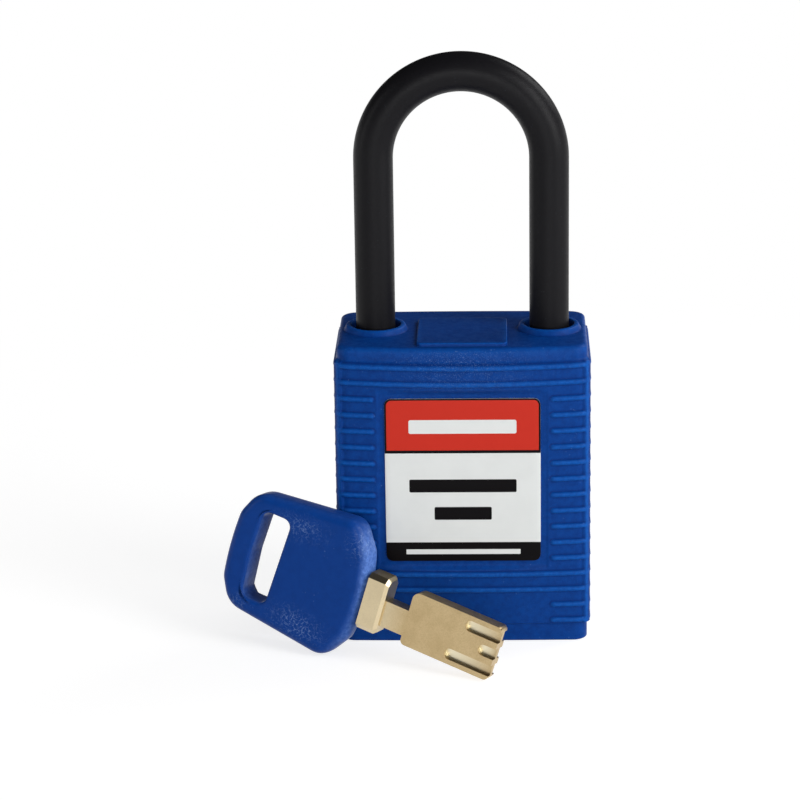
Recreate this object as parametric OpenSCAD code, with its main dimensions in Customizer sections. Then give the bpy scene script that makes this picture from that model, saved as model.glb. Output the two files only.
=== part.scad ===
/* [Body] */
// Width of the body's base band and top block
body_w = 40; // [40:0.5:46]
// Depth of the body at its side edges
body_d = 21; // [20:0.5:26]
// Height of the body's top face
body_h = 50; // [49:0.5:58]
// Radius of the four upright corners
corner_r = 2; // [1:0.25:4]
// How far the middle of the front bulges at the base
crown_base = 0.25; // [0:0.05:0.5]
// How far the middle of the front bulges above the base band
crown_low = 1.1; // [0.6:0.1:1.4]
// How far the middle of the front bulges near the top
crown_top = 2.2; // [1.6:0.1:2.8]
// How far the top face's front edge bulges
crown_lip = 1.5; // [0.5:0.1:2]
// How far the middle of the back bulges
crown_back = 0.4; // [0:0.1:1]
// Width and height of the softened edge round the top face
edge_round = 0.85; // [0.3:0.05:1]
// Width and height of the softened edge round the base
base_round = 0.4; // [0.2:0.1:0.6]
// Height of the plain band at the base
band_h = 3; // [2:0.25:3]
// How far the ridged zone stands out from the band and the top block
zone_step = 0.25; // [0.1:0.05:0.4]
// Height of the raised pad on the top face
pad_h = 0.55; // [0.3:0.05:1.2]
// Width of the raised pad
pad_w = 14.4; // [10:0.2:15]
// Length of the raised pad from the front
pad_len = 15; // [10:0.5:18]
// Corner radius of the raised pad's front
pad_r = 0.9; // [0.4:0.1:1.5]

/* [Ridges] */
// Distance from one ridge to the next
rib_pitch = 2.7; // [2.2:0.1:3.2]
// Height of each ridge along the body
rib_w = 0.8; // [0.5:0.1:1.2]
// How far each ridge stands out
rib_h = 0.3; // [0.2:0.05:0.6]
// Width on the front and back of the strips that bring the upright corners level with the ridges
strip_w = 1; // [0.6:0.1:2]
// Width of these strips on the body's sides
strip_d = 1.5; // [0.6:0.1:2]
// Height of the lowest ridge above the base
first_rib_z = 3.8; // [3.6:0.1:4.5]
// Plain height between the top ridge and the top face
rib_top_margin = 3; // [2.5:0.1:4]
// Number of ridges left short below the full ones at the foot
foot_short_ribs = 2; // [1:1:3]
// Number of full ridges at the foot and at the top
full_ribs = 2; // [1:1:3]
// Width of the plain panel between the short ridges
panel_w = 28; // [26:0.5:30]
// Flat panel's stand-out at its lower edge, from the body's side edges
panel_out_low = 0.75; // [0.6:0.05:1]
// Flat panel's stand-out at its upper edge
panel_out_high = 1.3; // [1.1:0.05:1.6]
// Margin of the flat panel round the label
panel_margin = 0.9; // [0.5:0.1:1.2]

/* [Label] */
// Width of the label
label_w = 24.9; // [20:0.1:25.2]
// Height of the label
label_h = 27.6; // [22:0.1:28]
// Height of the label's lower edge above the base
label_z = 14.2; // [13.4:0.1:15]
// Thickness of the label
label_t = 0.25; // [0.15:0.05:0.4]
// Radius of the label's corners
label_r = 1.1; // [0.5:0.1:2]

/* [Shackle] */
// Diameter of the shackle's rod
shackle_d = 6.35; // [5.6:0.05:6.8]
// Distance between the two legs' axes
leg_spacing = 28; // [27.5:0.25:30]
// Clear height inside the closed shackle, from the top face
clear_h = 39; // [20:0.2:80]
// Depth of the short leg's end below the top face
toe_depth = 12.1; // [11.6:0.1:13]
// How far the shackle rises when it opens
shackle_lift = 14; // [13.5:0.5:15]
// Diameter of the long leg's turned-down neck
neck_d = 4.2; // [3.6:0.1:4.4]
// Length of the long leg's foot below the neck
foot_len = 3; // [2:0.25:4]
// Size of the edge break on the legs' ends
leg_break = 0.5; // [0.2:0.1:0.8]
// Gap all round between a leg and its bore
leg_gap = 0.2; // [0.1:0.05:0.3]
// Diameter of the wide mouth round each leg
mouth_d = 8; // [7.6:0.1:8.6]
// Depth of the wide mouth below the top face
mouth_depth = 2; // [1:0.25:3]
// Diameter of the collar round each leg at its foot
collar_d = 10.2; // [9.8:0.1:10.6]
// Height of the collars
collar_h = 0.9; // [0.5:0.1:1.5]
// How far the collars' outsides slope in
collar_slope = 0.4; // [0.1:0.1:0.6]

/* [Lock cylinder] */
// Outside diameter of the sleeve that holds the plug
housing_d = 15; // [14.6:0.1:15.2]
// Gap all round between the sleeve and the body
housing_gap = 0.05; // [0.03:0.01:0.1]
// Thickness of the snap ring under the sleeve
ring_t = 1; // [0.8:0.1:1.2]
// How far the snap ring reaches into the body
ring_grip = 0.6; // [0.4:0.1:0.8]
// Width of the snap ring
ring_w = 1.2; // [1:0.1:1.4]
// Height of the snap ring's groove above the base
ring_z = 1.1; // [0.8:0.1:1.5]
// Diameter of the plug
plug_d = 11.6; // [11.4:0.1:12]
// Running gap round the plug and its neck
run_gap = 0.05; // [0.03:0.01:0.08]
// Height of the plug's face above the base
plug_face_z = 0.8; // [0.4:0.1:1]
// Depth below the top face at which the cylinder's sleeve ends
housing_top_depth = 11.5; // [11:0.1:12]
// Thickness of the sleeve's end wall
end_wall = 1.5; // [1.2:0.1:2]
// Thickness of the lid over the spring channels
cap_t = 1; // [0.8:0.1:1.4]
// Diameter of the lid's neck, which turns in the end wall
cap_neck_d = 6.8; // [6.6:0.1:7]
// Width across the drive shaft's flats
drive_w = 3.4; // [3:0.1:3.8]
// Length of the lid's tongue in the plug
tongue_len = 3; // [2:0.25:4]
// Width of the lid's tongue
tongue_w = 6; // [5:0.25:7]
// Thickness of the lid's tongue
tongue_t = 2; // [1.6:0.1:2.2]
// Thickness of the clip above the end wall
clip_t = 0.7; // [0.5:0.05:0.9]
// Outside diameter of the clip
clip_d = 9.2; // [8.6:0.1:10]
// Depth of the clip's groove in the neck
clip_groove = 0.7; // [0.5:0.05:0.9]

/* [Sliders] */
// Width of a slider
slider_w = 1.6; // [1.4:0.05:1.7]
// Thickness of a slider
slider_t = 2; // [1.6:0.1:2.1]
// Gap round a slider in its channel
slider_gap = 0.05; // [0.03:0.01:0.08]
// Distance between neighbouring sliders
slider_pitch = 2.85; // [2.7:0.05:2.9]
// Height of the sliders' feet above the plug's face at rest
slider_rest = 9.7; // [9.2:0.1:10.2]
// Length of a slider
slider_len = 13.5; // [12:0.25:14]
// Height of a slider's foot
foot_h = 1.6; // [1.2:0.1:2]
// How far each foot stops short of the keyway's middle
foot_clear = 0.45; // [0.4:0.05:0.5]
// How far a slider can rise
slider_travel = 7.5; // [6.9:0.1:7.8]
// Wire diameter of the sliders' springs
slider_wire = 0.24; // [0.2:0.02:0.28]
// Turns of each slider spring
slider_turns = 8; // [5:1:10]

/* [Locking] */
// Diameter of the locking balls
ball_d = 4.5; // [4.2:0.1:4.8]
// Depth of the balls' middle below the top face
ball_depth = 7; // [6.8:0.1:7.2]
// How far a ball reaches into its leg
ball_bite = 0.9; // [0.8:0.05:1]
// How far a ball draws back when the plug turns
ball_travel = 4; // [3.8:0.1:4]
// Gap round a ball in its passage
ball_gap = 0.05; // [0.03:0.01:0.1]
// Gap between a ball and the notches and the cam
notch_gap = 0.1; // [0.08:0.01:0.15]
// Angle through which the plug turns
plug_turn = 90; // [80:1:90]
// Angle of the cam's level crest beyond the ball
cam_crest = 12; // [8:1:16]
// Thickness of the cam
cam_t = 4; // [3.4:0.1:4.2]
// Radius of the cam's chamber
chamber_r = 7.3; // [7.25:0.05:7.4]
// Thickness of the body above the cam's chamber
roof_t = 3.5; // [3:0.1:4]
// Diameter of the dowel that retains the long leg
pin_d = 3; // [2.6:0.1:3.2]
// Depth of the dowel's axis below the top face
pin_depth = 16.4; // [16:0.1:18]
// Gap round the dowel and between it and the neck
pin_gap = 0.05; // [0.03:0.01:0.08]
// Length of the shackle's spring while the shackle is closed
spring_len = 11.4; // [10.5:0.1:12.5]
// Wire diameter of the shackle's spring
spring_wire = 0.8; // [0.6:0.05:0.9]
// Mean radius of the shackle's spring
spring_r = 2.4; // [2:0.1:2.5]
// Turns of the shackle's spring
spring_turns = 6; // [4:1:8]

/* [Key] */
// Length of the key's head
bow_len = 25; // [20:0.2:28]
// Width of the head at its far end
bow_far_w = 20.3; // [18:0.1:22]
// Width of the head at the blade's end
bow_near_w = 23.5; // [22:0.1:26]
// Thickness of the head
bow_t = 5; // [4.8:0.1:6]
// Corner radius at the far end
bow_far_r = 4; // [3:0.1:5]
// Corner radius at the blade's end
bow_near_r = 3.2; // [2.5:0.1:4]
// How far the far end bulges
bow_far_bulge = 1; // [0.4:0.1:1.5]
// How far the blade's end bulges
bow_near_bulge = 2.4; // [1:0.1:3]
// Softened edge of the head
bow_edge = 1.1; // [0.6:0.1:1.4]
// Length of the head's slot across the key
slot_len = 15; // [12:0.2:16]
// Width of the head's slot
slot_w = 4.8; // [4:0.1:5]
// Distance of the slot's middle from the far end
slot_x = 6.9; // [6:0.1:8]
// Angle of the slot's inner side
slot_slant = 5.7; // [0:0.1:8]
// Corner radius of the slot
slot_r = 1.2; // [0.6:0.1:1.8]
// Length of the brass collar that shows
key_collar_len = 3.6; // [2.5:0.1:4.5]
// Width of the brass collar
key_collar_w = 9.6; // [9.3:0.1:11]
// Thickness of the brass collar
key_collar_t = 4.4; // [3.4:0.1:4.6]
// Bevel round the brass collar
key_bevel = 0.8; // [0.4:0.1:1]
// Bevel of the brass collar's end towards the blade
key_end_bevel = 0.4; // [0.2:0.1:0.6]
// Length of the notched neck
key_neck_len = 4.2; // [3:0.1:5]
// Depth of the neck's notch on the upper side
notch_high = 3.4; // [2.5:0.1:3.6]
// Depth of the neck's notch on the lower side
notch_low = 1.4; // [1:0.1:1.8]
// Length of the blade beyond the neck
blade_len = 15.8; // [15:0.1:16]
// Width of the blade
blade_w = 9.1; // [8.8:0.1:9.3]
// Thickness of the blade
blade_t = 2.6; // [2.4:0.1:2.7]
// Corner radius of the blade's tip and lower shoulder
blade_r = 0.8; // [0.3:0.1:1.4]
// Corner radius of the blade's upper shoulder
shoulder_r = 1.2; // [0.3:0.1:1.4]
// Width of the blade's channels
channel_w = 1.8; // [1.7:0.05:2]
// Depth of the blade's channels
channel_depth = 0.9; // [0.86:0.02:1]
// Lengths of the channels from the tip, upper to lower
channel_lens = [6, 2.9, 8.1];
// Gap round the blade in the keyway
keyway_gap = 0.08; // [0.05:0.01:0.12]
// Length of the blade's root inside the head
root_len = 9; // [6:0.5:12]
// Thickness of the blade's root
root_t = 2; // [1.5:0.1:2.4]
// Width of the blade's root
root_w = 7; // [5:0.5:8]
// Gap round the blade's root
root_gap = 0.03; // [0.02:0.01:0.05]

/* [Key beside the padlock] */
// How far the key's face is turned to the left
key_yaw = 23; // [14:1:28]
// How far the key leans back
key_lean = 8; // [6:1:14]
// How far the key's head reaches in front of the body
key_overlap = 5; // [4:0.5:8]
// Gap between the key's head and the body's ridges
key_gap = 0.25; // [0.1:0.05:0.4]

/* [Hidden] */

// Thickness of the slices that the hulls are drawn through
slice = 0.05;
// Overlap of a cut beyond the face it opens
cut = 1;

shackle_r = shackle_d / 2;
leg_x = leg_spacing / 2;
leg_bore_r = shackle_r + leg_gap;
arch_z = body_h + clear_h - leg_x + shackle_r;
toe_z = body_h - toe_depth;

housing_r = housing_d / 2;
cavity_r = housing_r + housing_gap;
ring_top = ring_z + ring_t;
housing_low = ring_top + run_gap;
housing_top = body_h - housing_top_depth;
plug_r = plug_d / 2;
cap_low = housing_top - end_wall - run_gap - cap_t;
cap_neck_r = cap_neck_d / 2;

ball_r = ball_d / 2;
ball_z = body_h - ball_depth;
// A ball's middle lies where its outside bites into the leg's inner side
ball_x = leg_x - shackle_r + ball_bite - ball_r;
cam_low = ball_z - cam_t / 2;
cam_reach = ball_r + notch_gap;

pin_r = pin_d / 2;
pin_z = body_h - pin_depth;
neck_r = neck_d / 2;
neck_top = pin_z + pin_r + notch_gap;
neck_low = pin_z - pin_r - notch_gap - shackle_lift;
heel_z = neck_low - foot_len;
heel_floor = heel_z - spring_len - 2 * pin_gap;

keyway_w = blade_w + 2 * keyway_gap;
keyway_t = blade_t + 2 * keyway_gap;
keyway_top = plug_face_z + key_neck_len + blade_len + 2 * run_gap;
slider_in = keyway_t / 2 + slider_gap;
slider_foot_z = plug_face_z + slider_rest;
slider_top_z = slider_foot_z + slider_len;

rib_count = floor((body_h - rib_top_margin - first_rib_z + slice) / rib_pitch) + 1;
zone_top = body_h - rib_top_margin + rib_w / 2 + 2 * zone_step;
low_z = first_rib_z + (foot_short_ribs + full_ribs - 1) * rib_pitch;
crowns = [
    [0, crown_base],
    [low_z, crown_low],
    [body_h - rib_top_margin, crown_top],
    [body_h, crown_lip]
];
panel_low = label_z - panel_margin;
panel_high = label_z + label_h + panel_margin;
panel_tilt = atan((panel_out_high - panel_out_low) / (panel_high - panel_low));

key_tip = bow_len + key_collar_len + key_neck_len + blade_len;
near_cx = bow_len - bow_near_bulge - bow_near_r;
near_cz = bow_near_w / 2 - bow_near_r;
// The key stands on its head's lower corner and its blade's lower tip corner
rise_x = key_tip - blade_r - near_cx;
rise_z = near_cz - blade_w / 2 + blade_r;
key_roll = atan2(rise_z, rise_x)
    + asin((bow_near_r - blade_r) / sqrt(rise_x * rise_x + rise_z * rise_z));
key_low = near_cx * sin(key_roll) + near_cz * cos(key_roll) + bow_near_r;
key_z = (key_low - bow_edge) * cos(key_lean) + (bow_t / 2 - bow_edge) * sin(key_lean) + bow_edge;
bow_top = key_z
    + (near_cz * cos(key_roll) + bow_near_r - near_cx * sin(key_roll)) * cos(key_lean);
key_x = key_overlap - body_w / 2 - bow_len * cos(key_roll) * cos(key_yaw);
// Place of the body's front left corner along the direction of the key's back
corner_reach = sin(key_yaw) * (body_w / 2 + zone_step - corner_r)
    + cos(key_yaw) * (body_d / 2 + zone_step - corner_r) + corner_r + rib_h + key_gap;
key_back = bow_t / 2 + sin(key_lean) * (bow_top - key_z);
key_y = -(corner_reach + key_back / cos(key_lean) + sin(key_yaw) * key_x) / cos(key_yaw);

nylon_blue = [0.09, 0.27, 0.58];
nylon_black = [0.11, 0.11, 0.12];
brass = [0.75, 0.64, 0.45];
steel = [0.7, 0.71, 0.73];
sheet_white = [0.88, 0.89, 0.89];

function arc(cx, cy, r, from, to, steps) =
    [for (i = [0:steps])
        let (a = from + (to - from) * i / steps)
        [cx + r * cos(a), cy + r * sin(a)]];

// A point of the plan moved out by the front's or the back's crown, which is full in the
// middle and nothing at the sides
function crowned(p, half_w, crown) =
    let (share = p[0] / half_w,
        bow = p[1] < 0 ? -crown : crown_back)
    [p[0], p[1] + bow * (1 - share * share)];

// The body's plan at one height: a rounded rectangle with bowed front and back
function plan(grow, crown) =
    let (half_w = body_w / 2 + grow,
        half_d = body_d / 2 + grow,
        cx = half_w - corner_r,
        cy = half_d - corner_r,
        steps = 6,
        side = cx / steps)
    [for (p = concat(
        arc(cx, cy, corner_r, 0, 90, 4),
        [for (i = [1:2 * steps - 1]) [cx - i * side, half_d]],
        arc(-cx, cy, corner_r, 90, 180, 4),
        arc(-cx, -cy, corner_r, 180, 270, 4),
        [for (i = [1:2 * steps - 1]) [-cx + i * side, -half_d]],
        arc(cx, -cy, corner_r, 270, 360, 4)))
        crowned(p, half_w, crown)];

module plan_slice(z, grow, crown) {
    translate([0, 0, z])
        linear_extrude(slice)
            polygon(plan(grow, crown));
}

module body_block() {
    hull() {
        plan_slice(0, -base_round, crown_base);
        plan_slice(base_round, 0, crown_base);
        plan_slice(low_z, 0, crown_low);
        plan_slice(body_h - rib_top_margin, 0, crown_top);
        plan_slice(body_h - edge_round, 0, crown_lip);
        plan_slice(body_h - slice, -edge_round, crown_lip);
    }
}

// The stretch of the body that carries the ridges, or that stretch raised by rise
module ridged_zone(rise) {
    hull() {
        plan_slice(band_h, 0, lookup(band_h, crowns));
        plan_slice(band_h + zone_step, zone_step + rise, lookup(band_h, crowns));
        plan_slice(low_z, zone_step + rise, crown_low);
        plan_slice(zone_top - 2 * zone_step, zone_step + rise, crown_top);
        plan_slice(zone_top, 0, crown_top);
    }
}

// Upright strips that bring the body's corners level with the ridges
module corner_strips() {
    reach = zone_step + rib_h;
    intersection() {
        ridged_zone(rib_h);
        for (x = [-1, 1], y = [-1, 1])
            translate([x * (body_w / 2 + reach), y * (body_d / 2 + reach), body_h / 2])
                cube([2 * strip_w, 2 * strip_d, body_h], center = true);
    }
}

// The raised pad on the top, from the front edge towards the back
module top_pad() {
    half = pad_w / 2;
    translate([0, -body_d / 2, body_h - slice])
        linear_extrude(pad_h + slice)
            polygon(concat(
                arc(half - pad_r, pad_r, pad_r, 270, 360, 4),
                [[half, pad_len], [-half, pad_len]],
                arc(pad_r - half, pad_r, pad_r, 180, 270, 4)
            ));
}

// One ridge all round the body
module ridge(index) {
    z = first_rib_z + index * rib_pitch;
    translate([0, 0, z - rib_w / 2])
        linear_extrude(rib_w)
            polygon(plan(zone_step + rib_h, lookup(z, crowns)));
}

// What a short ridge keeps on one side of the panel, with its inner end rounded
module ridge_side(index, side) {
    end_r = rib_w / 2 + slice;
    turn = side > 0 ? 90 : -90;
    translate([0, 0, first_rib_z + index * rib_pitch])
        rotate([90, 0, 0])
            linear_extrude(2 * body_d, center = true)
                polygon(concat(
                    arc(side * (panel_w / 2 + end_r), 0, end_r, turn, turn + 180, 6),
                    [[side * body_w, -side * end_r], [side * body_w, side * end_r]]
                ));
}

module ridges() {
    first_full = foot_short_ribs;
    last_full = rib_count - full_ribs;
    for (i = [0:rib_count - 1]) {
        if (i >= first_full && i < first_full + full_ribs || i >= last_full)
            ridge(i);
        else
            intersection() {
                ridge(i);
                union() {
                    ridge_side(i, -1);
                    ridge_side(i, 1);
                }
            }
    }
}

// The wedge in front of the flat panel, which takes the bow off the body
module panel_cut() {
    translate([0, -body_d / 2 - panel_out_low, panel_low])
        rotate([panel_tilt, 0, 0])
            translate([-panel_w / 2 + panel_margin / 2, -2 * crown_top, 0])
                cube([panel_w - panel_margin, 2 * crown_top, (panel_high - panel_low) / cos(panel_tilt)]);
}

// The flat ground of the panel where the bow falls below it
module panel_ground() {
    half = panel_w / 2 - panel_margin / 2;
    translate([-half, 0, 0])
        rotate([90, 0, 90])
            linear_extrude(2 * half)
                polygon([
                    [0, panel_low],
                    [-body_d / 2 - panel_out_low, panel_low],
                    [-body_d / 2 - panel_out_high, panel_high],
                    [0, panel_high]
                ]);
}

module leg_collar() {
    rotate_extrude($fn = 64)
        polygon([
            [0, -cut],
            [collar_d / 2, -cut],
            [collar_d / 2, 0],
            [collar_d / 2 - collar_slope, collar_h],
            [0, collar_h]
        ]);
}

module leg_bore(floor_z) {
    translate([0, 0, floor_z])
        cylinder(r = leg_bore_r, h = body_h + cut, $fn = 64);
    translate([0, 0, body_h - mouth_depth])
        cylinder(d = mouth_d, h = mouth_depth + collar_h + cut, $fn = 64);
}

module body_bores() {
    translate([0, 0, -cut])
        cylinder(r = cavity_r, h = housing_top + cut, $fn = 96);
    translate([0, 0, ring_z])
        cylinder(r = cavity_r + ring_grip, h = ring_t + run_gap, $fn = 96);
    translate([0, 0, housing_top - cut])
        cylinder(r = chamber_r, h = body_h - roof_t - housing_top + cut, $fn = 96);
    translate([-leg_x, 0, ball_z])
        rotate([0, 90, 0])
            cylinder(r = ball_r + ball_gap, h = leg_spacing, $fn = 48);
    translate([-leg_x, 0, pin_z])
        rotate([0, 90, 0])
            cylinder(r = pin_r + pin_gap, h = leg_x, $fn = 48);
    translate([-leg_x, 0, 0])
        leg_bore(heel_floor);
    translate([leg_x, 0, 0])
        leg_bore(toe_z - 2 * notch_gap);
}

module body() {
    color(nylon_blue)
        difference() {
            union() {
                difference() {
                    union() {
                        body_block();
                        ridged_zone(0);
                        ridges();
                        corner_strips();
                    }
                    panel_cut();
                }
                panel_ground();
                top_pad();
                for (side = [-1, 1])
                    translate([side * leg_x, 0, body_h])
                        leg_collar();
            }
            body_bores();
        }
}

module label() {
    half_w = label_w / 2 - label_r;
    color(sheet_white)
        translate([0, -body_d / 2 - panel_out_low, panel_low])
            rotate([90 + panel_tilt, 0, 0])
                translate([0, panel_margin + label_h / 2, 0])
                    linear_extrude(label_t)
                        polygon(concat(
                            arc(half_w, label_h / 2 - label_r, label_r, 0, 90, 6),
                            arc(-half_w, label_h / 2 - label_r, label_r, 90, 180, 6),
                            arc(-half_w, label_r - label_h / 2, label_r, 180, 270, 6),
                            arc(half_w, label_r - label_h / 2, label_r, 270, 360, 6)
                        ));
}

// A round leg from one height to another, with its lower edge broken
module leg(low, high, r) {
    rotate_extrude($fn = 64)
        polygon([
            [0, low],
            [r - leg_break, low],
            [r, low + leg_break],
            [r, high],
            [0, high]
        ]);
}

// The path of a ball as the rising shackle sees it: inwards by its travel, down by the lift
module ball_path(side) {
    tilt = atan(ball_travel / shackle_lift);
    length = sqrt(pow(ball_travel, 2) + pow(shackle_lift, 2));
    translate([side * ball_x, 0, ball_z]) {
        sphere(r = ball_r + notch_gap, $fn = 48);
        rotate([0, side * tilt, 0])
            translate([0, 0, -length])
                cylinder(r = ball_r + notch_gap, h = length, $fn = 48);
    }
}

module shackle() {
    color(nylon_black)
        difference() {
            union() {
                translate([0, 0, arch_z])
                    rotate([90, 0, 0])
                        rotate_extrude(angle = 180, $fn = 128)
                            translate([leg_x, 0])
                                circle(r = shackle_r, $fn = 64);
                translate([leg_x, 0, 0])
                    leg(toe_z, arch_z, shackle_r);
                translate([-leg_x, 0, 0]) {
                    leg(neck_top, arch_z, shackle_r);
                    translate([0, 0, neck_low - cut])
                        cylinder(r = neck_r, h = neck_top - neck_low + 2 * cut, $fn = 64);
                    leg(heel_z, neck_low, shackle_r);
                }
            }
            ball_path(1);
            ball_path(-1);
        }
}

module core_housing() {
    color(steel)
        difference() {
            translate([0, 0, housing_low])
                cylinder(r = housing_r, h = housing_top - housing_low, $fn = 96);
            translate([0, 0, -cut])
                cylinder(r = plug_r + run_gap, h = housing_top - end_wall + cut, $fn = 96);
            cylinder(r = cap_neck_r + run_gap, h = body_h, $fn = 64);
        }
}

// An open ring between two radii, with the opening at the back
module open_ring(inner_r, outer_r, thickness, opening) {
    rotate([0, 0, 90 + opening / 2])
        rotate_extrude(angle = 360 - opening, $fn = 96)
            translate([inner_r, 0])
                square([outer_r - inner_r, thickness]);
}

module housing_ring() {
    outer_r = cavity_r + ring_grip - run_gap;
    color(steel)
        translate([0, 0, ring_z + run_gap / 2])
            open_ring(outer_r - ring_w, outer_r, ring_t, 50);
}

// Places a child in one of the six slider channels, the first three at the front
module at_slider(index) {
    side = index < 3 ? -1 : 1;
    column = index < 3 ? index - 1 : 4 - index;
    translate([side * -column * slider_pitch, 0, 0])
        rotate([0, 0, side < 0 ? 180 : 0])
            children();
}

module slider_channel() {
    half = slider_w / 2 + slider_gap;
    translate([-half, 0, slider_foot_z - slider_gap])
        cube([2 * half, slider_in + slider_t + slider_gap, cap_low - slider_foot_z + cut]);
}

module plug() {
    color(brass)
        difference() {
            translate([0, 0, plug_face_z])
                cylinder(r = plug_r, h = cap_low - plug_face_z, $fn = 96);
            translate([-keyway_w / 2, -keyway_t / 2, 0])
                cube([keyway_w, keyway_t, keyway_top]);
            for (i = [0:5])
                at_slider(i)
                    slider_channel();
            translate([0, 0, cap_low + cut / 2 - tongue_len / 2])
                cube(
                    [
                        tongue_w + 2 * run_gap,
                        tongue_t + 2 * run_gap,
                        tongue_len + cut + run_gap
                    ],
                    center = true
                );
        }
}

module plug_cap() {
    groove_low = housing_top + run_gap;
    color(steel) {
        translate([-tongue_w / 2, -tongue_t / 2, cap_low - tongue_len])
            cube([tongue_w, tongue_t, tongue_len + cap_t]);
        difference() {
            union() {
                translate([0, 0, cap_low])
                    cylinder(r = plug_r, h = cap_t, $fn = 96);
                translate([0, 0, cap_low])
                    cylinder(r = cap_neck_r, h = cam_low - cap_low, $fn = 64);
            }
            translate([0, 0, groove_low])
                difference() {
                    cylinder(r = cap_neck_r + cut, h = clip_t + run_gap, $fn = 64);
                    cylinder(r = cap_neck_r - clip_groove, h = clip_t + run_gap, $fn = 64);
                }
        }
        translate([-drive_w / 2, -drive_w / 2, cam_low - cut])
            cube([drive_w, drive_w, cam_t + cut]);
    }
}

module plug_clip() {
    color(steel)
        translate([0, 0, housing_top + run_gap])
            open_ring(cap_neck_r - clip_groove + run_gap, clip_d / 2, clip_t, 70);
}

// A lobe of the cam runs level with the ball's inner side while the ball's middle draws in
// evenly with the turn, so it is the ball's path moved in by the ball's radius
function lobe_point(angle) =
    let (rate = ball_travel / plug_turn,
        middle = ball_x - rate * angle,
        slope = rate * 180 / PI,
        length = sqrt(pow(middle, 2) + pow(slope, 2)),
        radial = middle - cam_reach * middle / length,
        across = cam_reach * slope / length)
    [
        radial * cos(angle) + across * sin(angle),
        across * cos(angle) - radial * sin(angle)
    ];

module cam() {
    lobe = [for (i = [0:12]) lobe_point(plug_turn * i / 12)];
    lobe_start = atan2(lobe[0][1], lobe[0][0]);
    crest = arc(0, 0, ball_x - cam_reach, lobe_start + cam_crest, lobe_start, 3);
    half = concat(crest, lobe);
    color(steel)
        translate([0, 0, cam_low])
            difference() {
                linear_extrude(cam_t)
                    difference() {
                        polygon(concat(half, [for (p = half) -p]));
                        for (turn = [0, 180])
                            rotate([0, 0, turn - plug_turn])
                                translate([ball_x - ball_travel, 0])
                                    circle(r = cam_reach, $fn = 48);
                    }
                translate([0, 0, cam_t / 2])
                    cube(
                        [
                            drive_w + 2 * run_gap,
                            drive_w + 2 * run_gap,
                            cam_t + cut
                        ],
                        center = true
                    );
            }
}

module slider(index) {
    color(brass)
        at_slider(index) {
            translate([-slider_w / 2, slider_in, slider_foot_z])
                cube([slider_w, slider_t, slider_len]);
            translate([-slider_w / 2, foot_clear, slider_foot_z])
                cube([slider_w, slider_in + slider_gap - foot_clear, foot_h]);
        }
}

// A coil of round wire between two heights
module coil(mean_r, wire, low, high, turns, steps, sides) {
    rings = turns * steps;
    rise = (high - low - wire) / rings;
    points = [for (i = [0:rings], j = [0:sides - 1])
        let (a = 360 * i / steps,
            b = 360 * (j + 0.5) / sides,
            r = mean_r + wire / 2 * cos(b))
        [r * cos(a), r * sin(a), low + wire / 2 + i * rise + wire / 2 * sin(b)]];
    skin = [for (i = [0:rings - 1], j = [0:sides - 1])
        let (k = (j + 1) % sides,
            near = i * sides,
            far = near + sides)
        each [[near + j, near + k, far + k], [near + j, far + k, far + j]]];
    first = [[for (j = [sides - 1:-1:0]) j]];
    last = [[for (j = [0:sides - 1]) rings * sides + j]];
    polyhedron(points, concat(skin, first, last));
}

module slider_spring(index) {
    mean_r = slider_w / 2 - slider_wire / 2;
    color(steel)
        at_slider(index)
            translate([0, slider_in + slider_t / 2, 0])
                coil(
                    mean_r,
                    slider_wire,
                    slider_top_z + slider_gap,
                    cap_low - slider_gap,
                    slider_turns,
                    8,
                    4
                );
}

module locking_ball(side) {
    color(steel)
        translate([side * ball_x, 0, ball_z])
            sphere(r = ball_r, $fn = 48);
}

module heel_pin() {
    tip_x = leg_x - neck_r - notch_gap;
    color(steel)
        translate([-tip_x, 0, pin_z])
            rotate([0, 90, 0])
                cylinder(r = pin_r, h = tip_x - cavity_r, $fn = 48);
}

module shackle_spring() {
    color(steel)
        translate([-leg_x, 0, 0])
            coil(
                spring_r,
                spring_wire,
                heel_floor + pin_gap,
                heel_z - pin_gap,
                spring_turns,
                16,
                8
            );
}

// The key's own frame: x along the key from the head's far end, y through it, z across it
module key_place() {
    translate([key_x, key_y, key_z])
        rotate([0, 0, -key_yaw])
            rotate([-key_lean, 0, 0])
                rotate([0, key_roll, 0])
                    children();
}

// The head's outline: four round corners and bowed ends
function bow_outline(inset) =
    let (far_cx = bow_far_bulge + bow_far_r,
        far_cz = bow_far_w / 2 - bow_far_r)
    concat(
        arc(near_cx, -near_cz, bow_near_r - inset, -98, -25, 6),
        [for (t = [-0.32:0.16:0.32]) [bow_len - inset - 4 * bow_near_bulge * t * t, t * bow_near_w]],
        arc(near_cx, near_cz, bow_near_r - inset, 25, 98, 6),
        arc(far_cx, far_cz, bow_far_r - inset, 98, 170, 6),
        [for (t = [0.28:-0.14:-0.28]) [inset + 4 * bow_far_bulge * t * t, t * bow_far_w]],
        arc(far_cx, -far_cz, bow_far_r - inset, 190, 262, 6)
    );

module bow_slice(y, inset) {
    translate([0, y, 0])
        rotate([90, 0, 0])
            linear_extrude(slice, center = true)
                hull()
                    polygon(bow_outline(inset));
}

module bow_block() {
    face = bow_t / 2 - slice / 2;
    hull()
        for (side = [-1, 1], step = [0, 30, 60, 90])
            bow_slice(side * (face - bow_edge + bow_edge * sin(step)), bow_edge * (1 - cos(step)));
}

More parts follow.
